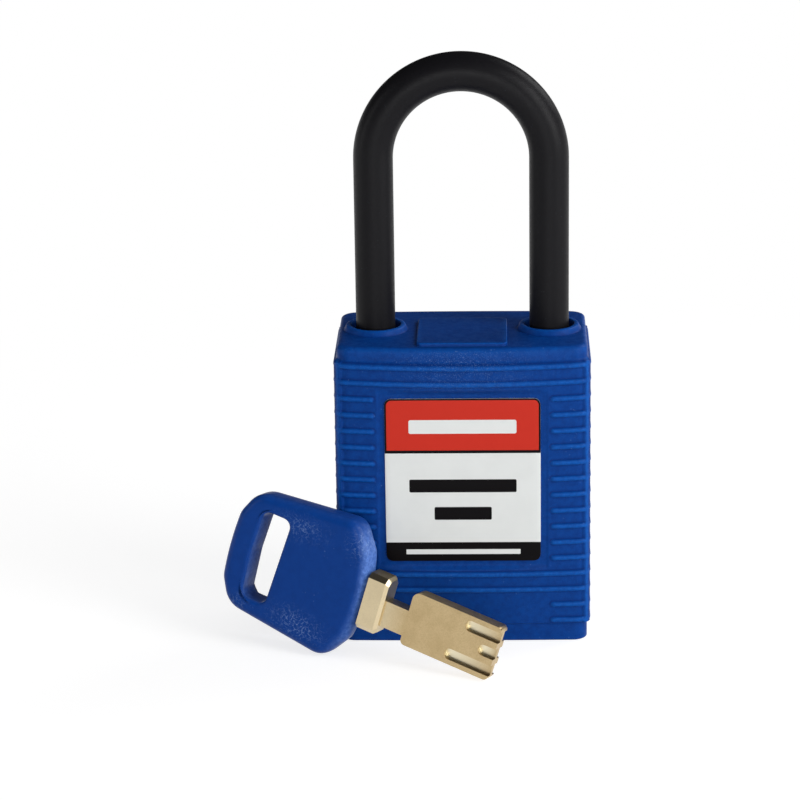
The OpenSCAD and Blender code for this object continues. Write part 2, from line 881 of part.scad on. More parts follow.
// The slot across the head, with its inner side slanted
module bow_slot() {
    half = slot_len / 2 - slot_r;
    near = slot_w / 2 - slot_r;
    lean = half * tan(slot_slant);
    rotate([90, 0, 0])
        linear_extrude(bow_t + cut, center = true)
            hull() {
                translate([slot_x - near, half]) circle(r = slot_r, $fn = 32);
                translate([slot_x - near - slot_r / 4, 0]) circle(r = slot_r, $fn = 32);
                translate([slot_x - near, -half]) circle(r = slot_r, $fn = 32);
                translate([slot_x + near + lean / 2, half]) circle(r = slot_r, $fn = 32);
                translate([slot_x + near - lean / 2, -half]) circle(r = slot_r, $fn = 32);
            }
}

module key_bow() {
    color(nylon_blue)
        key_place()
            difference() {
                bow_block();
                bow_slot();
                translate([bow_len - root_len - root_gap, 0, 0])
                    translate([0, -root_t / 2 - root_gap, -root_w / 2 - root_gap])
                        cube([root_len + cut, root_t + 2 * root_gap, root_w + 2 * root_gap]);
            }
}

// A stretch of the collar whose section is drawn in, and which reaches that much further
module collar_block(inset) {
    reach = key_collar_len - key_end_bevel + inset;
    thick = key_collar_t - 2 * inset;
    wide = key_collar_w - 2 * inset;
    translate([bow_len + root_gap + reach / 2, 0, 0]) {
        cube([reach, thick - 2 * key_bevel, wide], center = true);
        cube([reach, thick, wide - 2 * key_bevel], center = true);
    }
}

module key_collar() {
    hull() {
        collar_block(0);
        collar_block(key_end_bevel);
    }
}

module blade_plate() {
    low = bow_len + key_collar_len + key_neck_len;
    half = blade_w / 2 - blade_r;
    rotate([90, 0, 0])
        linear_extrude(blade_t, center = true)
            polygon(concat(
                arc(key_tip - blade_r, -half, blade_r, -90, 0, 4),
                arc(key_tip - blade_r, half, blade_r, 0, 90, 4),
                arc(low + shoulder_r, blade_w / 2 - shoulder_r, shoulder_r, 90, 180, 5),
                arc(low + blade_r, -half, blade_r, 180, 270, 4)
            ));
}

// The three channels in one face, open at the tip and round at their inner ends
module blade_channels() {
    end_r = channel_w / 2;
    for (i = [0:2])
        translate([
            key_tip - channel_lens[i] + end_r,
            -blade_t / 2 - cut,
            (1 - i) * slider_pitch
        ]) {
            translate([0, 0, -end_r])
                cube([channel_lens[i] - end_r + cut, channel_depth + cut, channel_w]);
            rotate([-90, 0, 0])
                cylinder(r = end_r, h = channel_depth + cut, $fn = 32);
        }
}

module key_blade() {
    neck_x = bow_len + key_collar_len;
    color(brass)
        key_place()
            difference() {
                union() {
                    translate([bow_len - root_len, -root_t / 2, -root_w / 2])
                        cube([root_len + key_collar_len, root_t, root_w]);
                    key_collar();
                    translate([neck_x - cut, -blade_t / 2, notch_low - blade_w / 2])
                        cube([key_neck_len + 2 * cut, blade_t, blade_w - notch_low - notch_high]);
                    blade_plate();
                }
                blade_channels();
                rotate([180, 0, 0])
                    blade_channels();
            }
}

body();
label();
shackle();
core_housing();
housing_ring();
plug();
plug_cap();
plug_clip();
cam();
for (i = [1:6]) {
    slider(i - 1);
    slider_spring(i - 1);
}
locking_ball(1);  // ball_toe
locking_ball(-1);  // ball_heel
heel_pin();
shackle_spring();
key_bow();
key_blade();
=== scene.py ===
"""A nylon lockout padlock with its key beside it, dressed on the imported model.

Each sub-assembly is a class with its sizes in millimetres; its meshes are numpy surfaces
written in metres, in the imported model's own frame: origin in the middle of the base, front
towards -Y, +Z up. Each finish is a small frozen class that builds one material.
"""

import logging
import math
from dataclasses import dataclass
from enum import Enum
from typing import Callable, Optional, Sequence

import bmesh
import bpy
import numpy as np
from mathutils import Euler, Matrix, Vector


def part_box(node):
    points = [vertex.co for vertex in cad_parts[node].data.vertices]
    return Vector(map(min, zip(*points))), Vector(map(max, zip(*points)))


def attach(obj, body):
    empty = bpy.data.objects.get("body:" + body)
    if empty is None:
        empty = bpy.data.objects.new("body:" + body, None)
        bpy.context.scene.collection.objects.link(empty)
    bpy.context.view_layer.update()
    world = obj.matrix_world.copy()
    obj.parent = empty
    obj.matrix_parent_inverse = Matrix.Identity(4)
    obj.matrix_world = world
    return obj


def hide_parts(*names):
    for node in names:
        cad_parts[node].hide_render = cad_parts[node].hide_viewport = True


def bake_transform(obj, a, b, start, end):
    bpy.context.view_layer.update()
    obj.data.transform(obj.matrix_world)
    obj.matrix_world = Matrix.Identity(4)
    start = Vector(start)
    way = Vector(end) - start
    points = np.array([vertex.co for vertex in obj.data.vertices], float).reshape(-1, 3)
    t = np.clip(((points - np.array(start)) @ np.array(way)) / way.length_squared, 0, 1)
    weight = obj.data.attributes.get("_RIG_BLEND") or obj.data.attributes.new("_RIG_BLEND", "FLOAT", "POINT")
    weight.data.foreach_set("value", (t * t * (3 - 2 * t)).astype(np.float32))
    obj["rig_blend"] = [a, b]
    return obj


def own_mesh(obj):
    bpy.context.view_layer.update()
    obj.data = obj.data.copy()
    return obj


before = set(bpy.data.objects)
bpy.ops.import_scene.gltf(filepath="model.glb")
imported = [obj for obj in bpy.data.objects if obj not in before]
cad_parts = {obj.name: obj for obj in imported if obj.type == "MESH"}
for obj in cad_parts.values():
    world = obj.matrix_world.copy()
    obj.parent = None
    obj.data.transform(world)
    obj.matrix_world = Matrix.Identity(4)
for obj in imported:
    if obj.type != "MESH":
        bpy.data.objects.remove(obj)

log = logging.getLogger("padlock")
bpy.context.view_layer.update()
MM = 0.001
FULL_TURN = 2.0 * math.pi
SHARP_FROM = 38.0  # degrees past which an edge isn't shaded smooth
OVERRUN = 0.5  # how far a cutting tool runs past what it cuts
Array = np.ndarray
Piece = bpy.types.Object
Node = bpy.types.Node
Socket = bpy.types.NodeSocket
Pair = tuple[float, float]
Triple = tuple[float, float, float]
Run = tuple[float, float, int]  # first and last value of even steps, and their number


class Body(Enum):
    """The moving groups that a new piece may ride on."""

    LOCK = "lock"
    PLUG = "plug"
    SHACKLE = "shackle"


class Side(Enum):
    """The two legs of the shackle, by the sign of their x."""

    HEEL = -1
    TOE = 1


# ---------------------------------------------------------------- numpy formulas


def smooth(value: Array) -> Array:
    """Smoothstep: 0 below 0, 1 above 1, and 3v^2 - 2v^3 between."""
    v = np.clip(value, 0.0, 1.0)
    return v * v * (3.0 - 2.0 * v)


def above(value: Array, edge: float, width: float) -> Array:
    """0 up to an edge and 1 from a width past it, smooth between."""
    return smooth((value - edge) / width)


def below(value: Array, edge: float, width: float) -> Array:
    """1 up to a width before an edge and 0 from the edge on, smooth between."""
    return smooth((edge - value) / width)


def bell(value: Array, middle: float, reach: float) -> Array:
    """A bell curve about a middle: exp(-((value - middle) / reach)^2)."""
    return np.exp(-(((value - middle) / reach) ** 2))


def round_edge(steps: int) -> tuple[Array, Array]:
    """A quarter circle of radius 1 over an edge: 1 - cos b inwards and 1 - sin b down."""
    b = np.radians(np.linspace(0.0, 90.0, steps))
    return 1.0 - np.cos(b), 1.0 - np.sin(b)


def turned(points: Array, axis: str, angle: float) -> Array:
    """Points turned about x, y or z by an angle in radians.

    With i and j the two axes that follow the turning axis, i becomes i cos - j sin and j
    becomes i sin + j cos.

    Args:
        points: (n, 3) points.
        axis: the turning axis: x, y or z.
        angle: in radians.

    Returns:
        The turned points.
    """
    i, j = {"x": (1, 2), "y": (2, 0), "z": (0, 1)}[axis]
    c, s = math.cos(angle), math.sin(angle)
    out = points.copy()
    out[:, i] = c * points[:, i] - s * points[:, j]
    out[:, j] = s * points[:, i] + c * points[:, j]
    return out


def away(azimuth: float, elevation: float) -> Array:
    """The unit vector towards a compass angle in radians, 0 in front, and a height angle."""
    flat = math.cos(elevation)
    return np.array([math.sin(azimuth) * flat, -math.cos(azimuth) * flat, math.sin(elevation)])


def rounded_loop(half_w: float, half_d: float, radius: float, steps: int = 8) -> Array:
    """A rounded rectangle as a closed loop: four quarter circles joined by their ends.

    Args:
        half_w: half the loop's width.
        half_d: half its depth.
        radius: the radius of its corners.
        steps: steps in each quarter circle.

    Returns:
        (4 * (steps + 1), 2) points, counter-clockwise.
    """
    a = np.radians(np.linspace(0.0, 90.0, steps + 1)[None, :] + 90.0 * np.arange(4)[:, None])
    cx = (half_w - radius) * np.array([1.0, -1.0, -1.0, 1.0])[:, None]
    cy = (half_d - radius) * np.array([1.0, 1.0, -1.0, -1.0])[:, None]
    return np.stack([cx + radius * np.cos(a), cy + radius * np.sin(a)], -1).reshape(-1, 2)


def resampled(loop: Array, count: int) -> Array:
    """Spaces points evenly along a closed loop, by linear steps in its running length.

    Args:
        loop: (n, 2) points of a closed loop.
        count: how many points to lay on it.

    Returns:
        (count, 2) points.
    """
    ring = np.vstack([loop, loop[:1]])
    run = np.concatenate([[0.0], np.cumsum(np.linalg.norm(np.diff(ring, axis=0), axis=1))])
    at = np.linspace(0.0, run[-1], count, endpoint=False)
    return np.stack([np.interp(at, run, ring[:, k]) for k in range(2)], -1)


def softened(loop: Array, spread: int) -> Array:
    """Averages a closed loop with a bell-shaped weight over spread neighbours each way.

    Args:
        loop: (n, 2) points of a closed loop.
        spread: how many neighbours count each way.

    Returns:
        (n, 2) points of the softer loop.
    """
    k = np.arange(-spread, spread + 1)
    weight = np.exp(-0.5 * (2.0 * k / max(spread, 1)) ** 2)
    shifted = np.stack([np.roll(loop, -int(s), axis=0) for s in k])
    return np.tensordot(weight / weight.sum(), shifted, axes=1)


def loop_normals(loop: Array) -> Array:
    """Outward unit normals of a counter-clockwise loop: its tangent turned by -90 degrees.

    Args:
        loop: (n, 2) points.

    Returns:
        (n, 2) unit vectors.
    """
    t = np.roll(loop, -1, axis=0) - np.roll(loop, 1, axis=0)
    n = np.stack([t[:, 1], -t[:, 0]], -1)
    return n / np.linalg.norm(n, axis=1, keepdims=True)


def hull_loop(centres: Array, radii: Array, count: int, directions: int = 1440) -> Array:
    """The loop round several circles.

    For each direction u, the touching point is that of the circle with the largest
    c.u + r, which is c + r u; the loop runs through these points.

    Args:
        centres: (n, 2) centres of the circles.
        radii: (n,) radii of the circles.
        count: how many points the loop gets.
        directions: how many directions are tried.

    Returns:
        (count, 2) points, counter-clockwise.
    """
    a = np.linspace(0.0, FULL_TURN, directions, endpoint=False)
    u = np.stack([np.cos(a), np.sin(a)], -1)
    best = np.argmax(u @ centres.T + radii[None, :], axis=1)
    return resampled(centres[best] + radii[best][:, None] * u, count)


def carried_up(loop: Array, inset: Array, heights: Array) -> Array:
    """Rings of a loop, drawn in along its normals by an inset at each height."""
    rings = loop - inset[:, None, None] * loop_normals(loop)
    return np.concatenate([rings, np.repeat(heights[:, None, None], len(loop), 1)], -1)


def cap_rings(edge: Array, half_line: Pair, shares: Sequence[float]) -> Array:
    """Rings that close an edge, drawn in towards a short middle line.

    The foot of a point is the nearest one on the line, at its own height; a ring lies at
    foot + share (edge - foot).

    Args:
        edge: (n, 3) points.
        half_line: how far the line reaches each way in x and in y.
        shares: one number for each ring, 1 at the edge and 0 on the line.

    Returns:
        (rings, n, 3) points.
    """
    across, deep = half_line
    foot = edge.copy()
    foot[:, 0] = np.clip(edge[:, 0], -across, across)
    foot[:, 1] = np.clip(edge[:, 1], -deep, deep)
    return foot + np.array(shares)[:, None, None] * (edge - foot)


# ---------------------------------------------------------------- meshes


def grid_quads(rows: int, cols: int, closed_rows: bool) -> Array:
    """The quads of a grid whose columns close on themselves.

    Args:
        rows: number of rows of points.
        cols: number of points in a row.
        closed_rows: whether the last row also joins the first.

    Returns:
        (n, 4) point numbers; with columns counter-clockwise seen from above and rows
        running up the outside, the faces point outwards.
    """
    last = rows if closed_rows else rows - 1
    row, col = np.meshgrid(np.arange(last), np.arange(cols), indexing="ij")
    here, up = row * cols, (row + 1) % rows * cols
    on = (col + 1) % cols
    return np.stack([here + col, here + on, up + on, up + col], -1).reshape(-1, 4)


def volume(points: Array, quads: Array) -> float:
    """Signed volume inside quads: the sum of the tetrahedra that their halves make with 0.

    Args:
        points: (n, 3) points.
        quads: (m, 4) point numbers.

    Returns:
        The volume, below 0 where the faces point inwards.
    """
    a, b, c, d = (points[quads[:, i]] for i in range(4))
    halves = np.einsum("ij,ij->i", a, np.cross(b, c)) + np.einsum("ij,ij->i", a, np.cross(c, d))
    return float(halves.sum() / 6.0)


def linked(name: str, data: object) -> Piece:
    """A new object of some data, put into the scene.

    Args:
        name: the object's name.
        data: its mesh, lamp or camera.

    Returns:
        The object.
    """
    obj = bpy.data.objects.new(name, data)
    bpy.context.scene.collection.objects.link(obj)
    return obj


def read_points(obj: Piece) -> Array:
    """The points of an object's mesh as (n, 3) millimetres.

    Args:
        obj: an object with a mesh.

    Returns:
        The points, as the mesh numbers them.
    """
    co = np.empty(len(obj.data.vertices) * 3, np.float32)
    obj.data.vertices.foreach_get("co", co)
    return co.reshape(-1, 3).astype(float) / MM


def write_points(obj: Piece, points: Array) -> Piece:
    """Gives the points of an object's mesh new places, in millimetres.

    Args:
        obj: an object with a mesh.
        points: (n, 3) places, as the mesh numbers them.

    Returns:
        The same object.
    """
    obj.data.vertices.foreach_set("co", (points * MM).astype(np.float32).ravel())
    obj.data.update()
    return obj


def write_mask(obj: Piece, name: str, values: Array) -> None:
    """Keeps one value for each point of an object's mesh under a name.

    Args:
        obj: an object with a mesh.
        name: the name that a finish reads.
        values: (n,) values, as the mesh numbers its points.
    """
    attributes = obj.data.attributes
    attribute = attributes.get(name) or attributes.new(name, "FLOAT", "POINT")
    attribute.data.foreach_set("value", values.astype(np.float32))


def reworked(mesh: bpy.types.Mesh, work_on: Callable[[bmesh.types.BMesh], object]) -> None:
    """Puts a mesh through a bmesh operation.

    Args:
        mesh: the mesh that is changed.
        work_on: what is done to its bmesh.
    """
    work = bmesh.new()
    work.from_mesh(mesh)
    work_on(work)
    work.to_mesh(mesh)
    work.free()


def crease_edges(mesh: bpy.types.Mesh, angle: float, flat_area: float = 1e9) -> None:
    """Shades a mesh smooth, apart from edges past an angle and faces over an area in mm2.

    Args:
        mesh: the mesh to shade.
        angle: in degrees.
        flat_area: in mm2.
    """
    mesh.polygons.foreach_set("use_smooth", np.ones(len(mesh.polygons), bool))
    mesh.set_sharp_from_angle(angle=math.radians(angle))
    area = np.empty(len(mesh.polygons), np.float32)
    mesh.polygons.foreach_get("area", area)
    mesh.polygons.foreach_set("use_smooth", area < flat_area * MM**2)
    mesh.update()


def surface(
    name: str,
    points: Array,
    closed_rows: bool = False,
    crease: float = SHARP_FROM,
    masks: Optional[dict[str, Array]] = None,
    sheet: Optional[Array] = None,
    weld: float = 0.0005,
) -> Piece:
    """Makes an object of a closed grid of points.

    Args:
        name: the object's name.
        points: (rows, cols, 3) millimetres; rows that fall on one point close a pole.
        closed_rows: whether the last row joins the first.
        crease: angle in degrees past which an edge stays sharp.
        masks: (rows, cols) values kept as attributes of the points.
        sheet: (rows, cols, 2) coordinates kept as a UV map.
        weld: millimetres within which points become one, which closes the poles.

    Returns:
        The object, linked, at the origin, with its faces outwards.
    """
    flat = points.reshape(-1, 3)
    quads = grid_quads(*points.shape[:2], closed_rows)
    if volume(flat, quads) < 0:
        quads = quads[:, ::-1]
    mesh = bpy.data.meshes.new(name)
    mesh.vertices.add(len(flat))
    mesh.vertices.foreach_set("co", (flat * MM).astype(np.float32).ravel())
    mesh.loops.add(quads.size)
    mesh.loops.foreach_set("vertex_index", quads.astype(np.int32).ravel())
    mesh.polygons.add(len(quads))
    mesh.polygons.foreach_set("loop_start", np.arange(0, quads.size, 4, dtype=np.int32))
    mesh.update(calc_edges=True)
    obj = linked(name, mesh)
    for mask, values in (masks or {}).items():
        write_mask(obj, mask, values.ravel())
    if sheet is not None:
        uv = sheet.reshape(-1, 2)[quads.ravel()].astype(np.float32)
        mesh.uv_layers.new(name="sheet").data.foreach_set("uv", uv.ravel())
    reworked(mesh, lambda w: bmesh.ops.remove_doubles(w, verts=w.verts, dist=weld * MM))
    crease_edges(mesh, crease)
    return obj


def prism(name: str, loop: Array, low: float, high: float) -> Piece:
    """A loop in x and z carried from y = low to y = high, closed by two flat faces.

    Args:
        name: the object's name.
        loop: (n, 2) millimetres, x and z.
        low: y of the first flat face.
        high: y of the second one.

    Returns:
        The object, with its faces outwards.
    """
    count = len(loop)
    points = np.vstack([np.insert(loop, 1, low, axis=1), np.insert(loop, 1, high, axis=1)])
    i = np.arange(count)
    j = (i + 1) % count
    walls = np.stack([i, j, j + count, i + count], -1).tolist()
    mesh = bpy.data.meshes.new(name)
    ends = [i[::-1].tolist(), (i + count).tolist()]
    mesh.from_pydata((points * MM).tolist(), [], walls + ends)
    reworked(mesh, lambda w: bmesh.ops.recalc_face_normals(w, faces=w.faces))
    return linked(name, mesh)


def revolved(
    name: str,
    section: Sequence[Pair],
    centre: Triple = (0.0, 0.0, 0.0),
    along: str = "z",
    closed: bool = False,
    cols: int = 72,
) -> Piece:
    """Turns a section about an axis: (r cos a, r sin a, h) for each of its points (r, h).

    Args:
        name: the object's name.
        section: (radius, height) pairs, up the outside.
        centre: where the axis' zero height lies.
        along: the axis, z or x.
        closed: whether the section is a closed loop.
        cols: points round the axis.

    Returns:
        The turned object.
    """
    r, h = np.array(section, float).T
    a = np.linspace(0.0, FULL_TURN, cols, endpoint=False)
    across, over = np.outer(r, np.cos(a)), np.outer(r, np.sin(a))
    up = np.repeat(h[:, None], cols, axis=1)
    axes = (across, over, up) if along == "z" else (up, across, over)
    return surface(name, np.stack(axes, -1) + np.array(centre), closed_rows=closed)


def finished(obj: Piece, crease: float = SHARP_FROM, flat_area: float = 1e9) -> Piece:
    """Puts what an object's modifiers make into its mesh and takes the modifiers off.

    Args:
        obj: an object with modifiers.
        crease: angle in degrees past which an edge stays sharp.
        flat_area: area in mm2 past which a face stays flat.

    Returns:
        The same object.
    """
    bpy.context.view_layer.update()
    evaluated = obj.evaluated_get(bpy.context.evaluated_depsgraph_get())
    mesh = bpy.data.meshes.new_from_object(evaluated)
    obj.modifiers.clear()
    old, obj.data = obj.data, mesh
    bpy.data.meshes.remove(old)
    crease_edges(mesh, crease, flat_area)
    return obj


def combine(
    obj: Piece, others: Sequence[Piece], operation: str, crease: float = SHARP_FROM
) -> Piece:
    """Cuts other closed objects out of an object, or adds them to it, and removes them.

    Args:
        obj: the object that stays.
        others: what is cut out or added.
        operation: DIFFERENCE or UNION.
        crease: angle in degrees past which an edge stays sharp.

    Returns:
        The object with its new mesh.
    """
    for other in others:
        step = obj.modifiers.new("combine", "BOOLEAN")
        step.object = other
        step.operation = operation
        step.solver = "MANIFOLD"
    finished(obj, crease)
    for other in others:
        mesh = other.data
        bpy.data.objects.remove(other)
        bpy.data.meshes.remove(mesh)
    return obj


def joined(name: str, parts: Sequence[Piece]) -> Piece:
    """Makes one object of several, which keep their own closed surfaces.

    Args:
        name: the name that it gets.
        parts: the objects, of which the first one stays.

    Returns:
        The joined object.
    """
    first, chosen = parts[0], list(parts)
    with bpy.context.temp_override(
        active_object=first, object=first, selected_objects=chosen, selected_editable_objects=chosen
    ):
        bpy.ops.object.join()
    first.name = first.data.name = name
    return first


# ---------------------------------------------------------------- shader helpers


class Bench:
    """Places and links the nodes of one tree."""

    def __init__(self, tree: bpy.types.NodeTree) -> None:
        """Keeps the tree that gets the nodes."""
        self.tree = tree

    @classmethod
    def cleared(cls, owner: bpy.types.ID) -> "Bench":
        """A bench for the emptied node tree of a material or a world.

        Args:
            owner: the material or world.

        Returns:
            The bench.
        """
        owner.use_nodes = True
        owner.node_tree.nodes.clear()
        return cls(owner.node_tree)

    def add(self, kind: str, **settings: object) -> Node:
        """A new node of a kind, with its settings by name.

        Args:
            kind: the node's type.
            settings: values of its properties.

        Returns:
            The node.
        """
        node = self.tree.nodes.new(kind)
        for name, value in settings.items():
            setattr(node, name, value)
        return node

    def join(self, source: Socket, target: Socket) -> None:
        """Links an output to an input."""
        self.tree.links.new(source, target)

    def feed(self, socket: Socket, value: object) -> None:
        """Sets an input from a number or colour, or links it to an output.

        Args:
            socket: the input.
            value: a number, a colour or an output.
        """
        if isinstance(value, Socket):
            self.join(value, socket)
        elif isinstance(value, tuple) and len(value) == 3 and socket.type == "RGBA":
            socket.default_value = (*value, 1.0)
        else:
            socket.default_value = value

    def fed(self, node: Node, inputs: dict[str, object]) -> bpy.types.NodeOutputs:
        """The outputs of a node, after its inputs are fed by name.

        Args:
            node: the node.
            inputs: a number, colour or output for each input's name.

        Returns:
            All the node's outputs.
        """
        for name, value in inputs.items():
            self.feed(node.inputs[name], value)
        return node.outputs

    def math(self, operation: str, *values: object, clamp: bool = False) -> Socket:
        """The result of a Math node on one to three values.

        Args:
            operation: what the node does.
            values: numbers or outputs.
            clamp: whether the result is held between 0 and 1.

        Returns:
            The node's output.
        """
        node = self.add("ShaderNodeMath", operation=operation, use_clamp=clamp)
        for socket, value in zip(node.inputs, values):
            self.feed(socket, value)
        return node.outputs[0]

    def times(self, value: object, factor: object, clamp: bool = False) -> Socket:
        """The product of two values."""
        return self.math("MULTIPLY", value, factor, clamp=clamp)

    def most(self, value: object, other: object) -> Socket:
        """The larger of two values."""
        return self.math("MAXIMUM", value, other)

    def mix(self, share: object, low: object, high: object) -> Socket:
        """The colour low where share is 0 and high where it is 1.

        Args:
            share: a number or an output.
            low: a colour or an output.
            high: a colour or an output.

        Returns:
            The mixed colour.
        """
        node = self.add("ShaderNodeMix", data_type="RGBA", clamp_factor=True)
        self.feed(node.inputs["Factor"], share)
        for socket, colour in zip([s for s in node.inputs if s.type == "RGBA"], (low, high)):
            self.feed(socket, colour)
        return next(s for s in node.outputs if s.type == "RGBA")

    def band(self, value: object, low: float, high: float) -> Socket:
        """0 where value is at low, 1 at high, smooth between and held outside."""
        node = self.add("ShaderNodeMapRange", interpolation_type="SMOOTHSTEP")
        return self.fed(node, {"Value": value, "From Min": low, "From Max": high})["Result"]

    def noise(
        self, vector: object, scale: object, detail: float = 3.0, rough: float = 0.5,
        output: str = "Fac",
    ) -> Socket:
        """The value, or another output, of a Noise Texture."""
        inputs = {"Vector": vector, "Scale": scale, "Detail": detail, "Roughness": rough}
        return self.fed(self.add("ShaderNodeTexNoise"), inputs)[output]

    def cells(self, vector: object, scale: object, feature: str) -> Socket:
        """The distance that a Voronoi Texture gives for a feature."""
        node = self.add("ShaderNodeTexVoronoi", feature=feature)
        return self.fed(node, {"Vector": vector, "Scale": scale})["Distance"]

    def parts(self, vector: Socket) -> bpy.types.NodeOutputs:
        """The X, Y and Z of a vector."""
        return self.fed(self.add("ShaderNodeSeparateXYZ"), {"Vector": vector})

    def bump(self, height: Socket, strength: float, distance: float) -> Socket:
        """The normal bent by a height; the distance is in millimetres."""
        inputs = {"Height": height, "Strength": strength, "Distance": distance * MM}
        return self.fed(self.add("ShaderNodeBump"), inputs)["Normal"]

    def group(self, effect: "SharedEffect", **values: object) -> bpy.types.NodeOutputs:
        """The outputs of a shared effect, its inputs fed by name; _ stands for a space."""
        node = self.add("ShaderNodeGroup", node_tree=effect.tree())
        return self.fed(node, {name.replace("_", " "): value for name, value in values.items()})


@dataclass(frozen=True)
class SharedEffect:
    """A shader node group that several materials use, built on its first use.

    Its inputs have the ending of a socket type (Float or Vector) and a default by name, its
    outputs are values, and fill puts the nodes between the group's input and output node.
    """

    name: str
    inputs: dict[str, tuple[str, float]]
    outputs: tuple[str, ...]
    fill: Callable[[Bench, Node, Node], None]

    def tree(self) -> bpy.types.NodeTree:
        """The group's tree.

        Returns:
            The tree, with its nodes and sockets.
        """
        known = bpy.data.node_groups.get(self.name)
        if known:
            return known
        tree = bpy.data.node_groups.new(self.name, "ShaderNodeTree")
        for label, (kind, default) in self.inputs.items():
            kind_name = "NodeSocket" + kind
            socket = tree.interface.new_socket(label, in_out="INPUT", socket_type=kind_name)
            if kind == "Float":
                socket.default_value = default
        for label in self.outputs:
            tree.interface.new_socket(label, in_out="OUTPUT", socket_type="NodeSocketFloat")
        bench = Bench(tree)
        self.fill(bench, bench.add("NodeGroupInput"), bench.add("NodeGroupOutput"))
        return tree


def fill_grain(b: Bench, given: Node, out: Node) -> None:
    """Grain of a moulded, fibre-filled surface: its height, its mottling and light specks.

    Args:
        b: a bench for the group's tree.
        given: the group's input node.
        out: the group's output node.
    """
    at, fine = given.outputs["Vector"], given.outputs["Fineness"]
    wave_scale, patch_scale, dot_scale, cluster_scale = (
        b.times(fine, share) for share in (0.16, 0.3, 0.42, 0.11)
    )
    wave = b.noise(at, wave_scale, rough=0.55)
    grain = b.noise(at, fine, detail=4.0, rough=0.6)
    b.join(b.math("ADD", grain, b.times(wave, 0.9)), out.inputs["Height"])
    patch = b.noise(at, patch_scale, detail=5.0, rough=0.7)
    b.join(b.band(patch, low=0.32, high=0.72), out.inputs["Mottle"])
    dot = b.band(b.cells(at, dot_scale, "F1"), low=0.2, high=0.08)
    few = b.band(b.noise(at, cluster_scale, detail=2.0), low=0.56, high=0.7)
    b.join(b.times(dot, few), out.inputs["Specks"])


def fill_wear_and_highlight(b: Bench, given: Node, out: Node) -> None:
    """Rubbing and painted highlight on edges and crests: a mask of the piece, of which noise leaves 35 to
    100%.

    Args:
        b: a bench for the group's tree.
        given: the group's input node.
        out: the group's output node.
    """
    least = 0.35
    breaks = b.noise(given.outputs["Vector"], 1500.0, detail=4.0, rough=0.7)
    left = b.math("ADD", least, b.times(b.band(breaks, low=0.3, high=0.75), 1.0 - least))
    strong = b.times(given.outputs["Edge"], left)
    b.join(b.times(strong, given.outputs["Amount"], clamp=True), out.inputs["Wear_and_highlight"])


def fill_marks(b: Bench, given: Node, out: Node) -> None:
    """Pale flow marks and scuffs: thin curled lines between cells, broken up by noise.

    Args:
        b: a bench for the group's tree.
        given: the group's input node.
        out: the group's output node.
    """
    at, curl = given.outputs["Vector"], 3.0 * MM
    bend = b.add("ShaderNodeVectorMath", operation="MULTIPLY_ADD")
    b.join(b.noise(at, 420.0, output="Color"), bend.inputs[0])
    bend.inputs[1].default_value = (curl, curl, curl)
    b.join(at, bend.inputs[2])
    line = b.band(b.cells(bend.outputs[0], 1350.0, "DISTANCE_TO_EDGE"), low=0.13, high=0.0)
    gaps = b.band(b.noise(at, 1700.0, detail=4.0, rough=0.7), low=0.4, high=0.62)
    amount = given.outputs["Amount"]
    b.join(b.times(b.times(line, gaps), amount, clamp=True), out.inputs["Marks"])


def fill_tool_lines(b: Bench, given: Node, out: Node) -> None:
    """Fine parallel lines that a cutter or a brush leaves, with tarnish in soft patches.

    Args:
        b: a bench for the group's tree.
        given: the group's input node.
        out: the group's output node.
    """
    at = given.outputs["Vector"]
    drawn_out = b.fed(b.add("ShaderNodeMapping"), {"Vector": at, "Scale": (0.06, 1.0, 1.0)})
    lines = b.noise(drawn_out["Vector"], 9000.0, rough=0.6)
    b.join(lines, out.inputs["Lines"])
    patches = b.noise(at, 330.0, detail=5.0, rough=0.65)
    b.join(b.band(patches, low=0.35, high=0.75), out.inputs["Tarnish"])


def fill_field(b: Bench, given: Node, out: Node) -> None:
    """A round-cornered field of print on a sheet: 1 inside, 0 outside, in millimetres.

    The distance to a rounded rectangle is length(max(q, 0)) - corner, where q is the
    distance from its middle less its half sizes plus the corner radius.

    Args:
        b: a bench for the group's tree.
        given: the group's input node.
        out: the group's output node.
    """
    at, corner, soft = b.parts(given.outputs["Vector"]), given.outputs["Corner"], 0.03

    def over(value: Socket, middle: str, half: str) -> Socket:
        """The square of how far a coordinate lies past the straight part of the field.

        Args:
            value: a coordinate on the sheet.
            middle: the input with the field's middle.
            half: the input with its half size.

        Returns:
            The square, 0 inside.
        """
        off = b.math("ABSOLUTE", b.math("SUBTRACT", value, given.outputs[middle]))
        inner = b.math("SUBTRACT", given.outputs[half], corner)
        past = b.most(b.math("SUBTRACT", off, inner), 0.0)
        return b.times(past, past)

    across, up = over(at["X"], "Across", "Half width"), over(at["Y"], "Up", "Half height")
    length = b.math("SQRT", b.math("ADD", across, up))
    b.join(b.band(b.math("SUBTRACT", length, corner), low=soft, high=-soft), out.inputs["Field"])


AT = {"Vector": ("Vector", 0.0)}
AMOUNT = {"Amount": ("Float", 1.0)}
FIELD_SIZES = ("Across", "Up", "Half width", "Half height", "Corner")
FINENESS = {"Fineness": ("Float", 3000.0)}
MOULDED_GRAIN = SharedEffect(
    "moulded_grain", AT | FINENESS, ("Height", "Mottle", "Specks"), fill_grain
)
EDGE_WEAR_AND_HIGHLIGHT = SharedEffect("edge_wear_and_highlight", AT | {"Edge": ("Float", 0.0)} | AMOUNT, ("Wear_and_highlight",), fill_wear_and_highlight)
FLOW_MARKS = SharedEffect("flow_marks", AT | AMOUNT, ("Marks",), fill_marks)
TOOL_LINES = SharedEffect("tool_lines", AT, ("Lines", "Tarnish"), fill_tool_lines)
PRINTED_FIELD = SharedEffect(
    "printed_field", AT | {name: ("Float", 1.0) for name in FIELD_SIZES}, ("Field",), fill_field
)


# ---------------------------------------------------------------- finishes


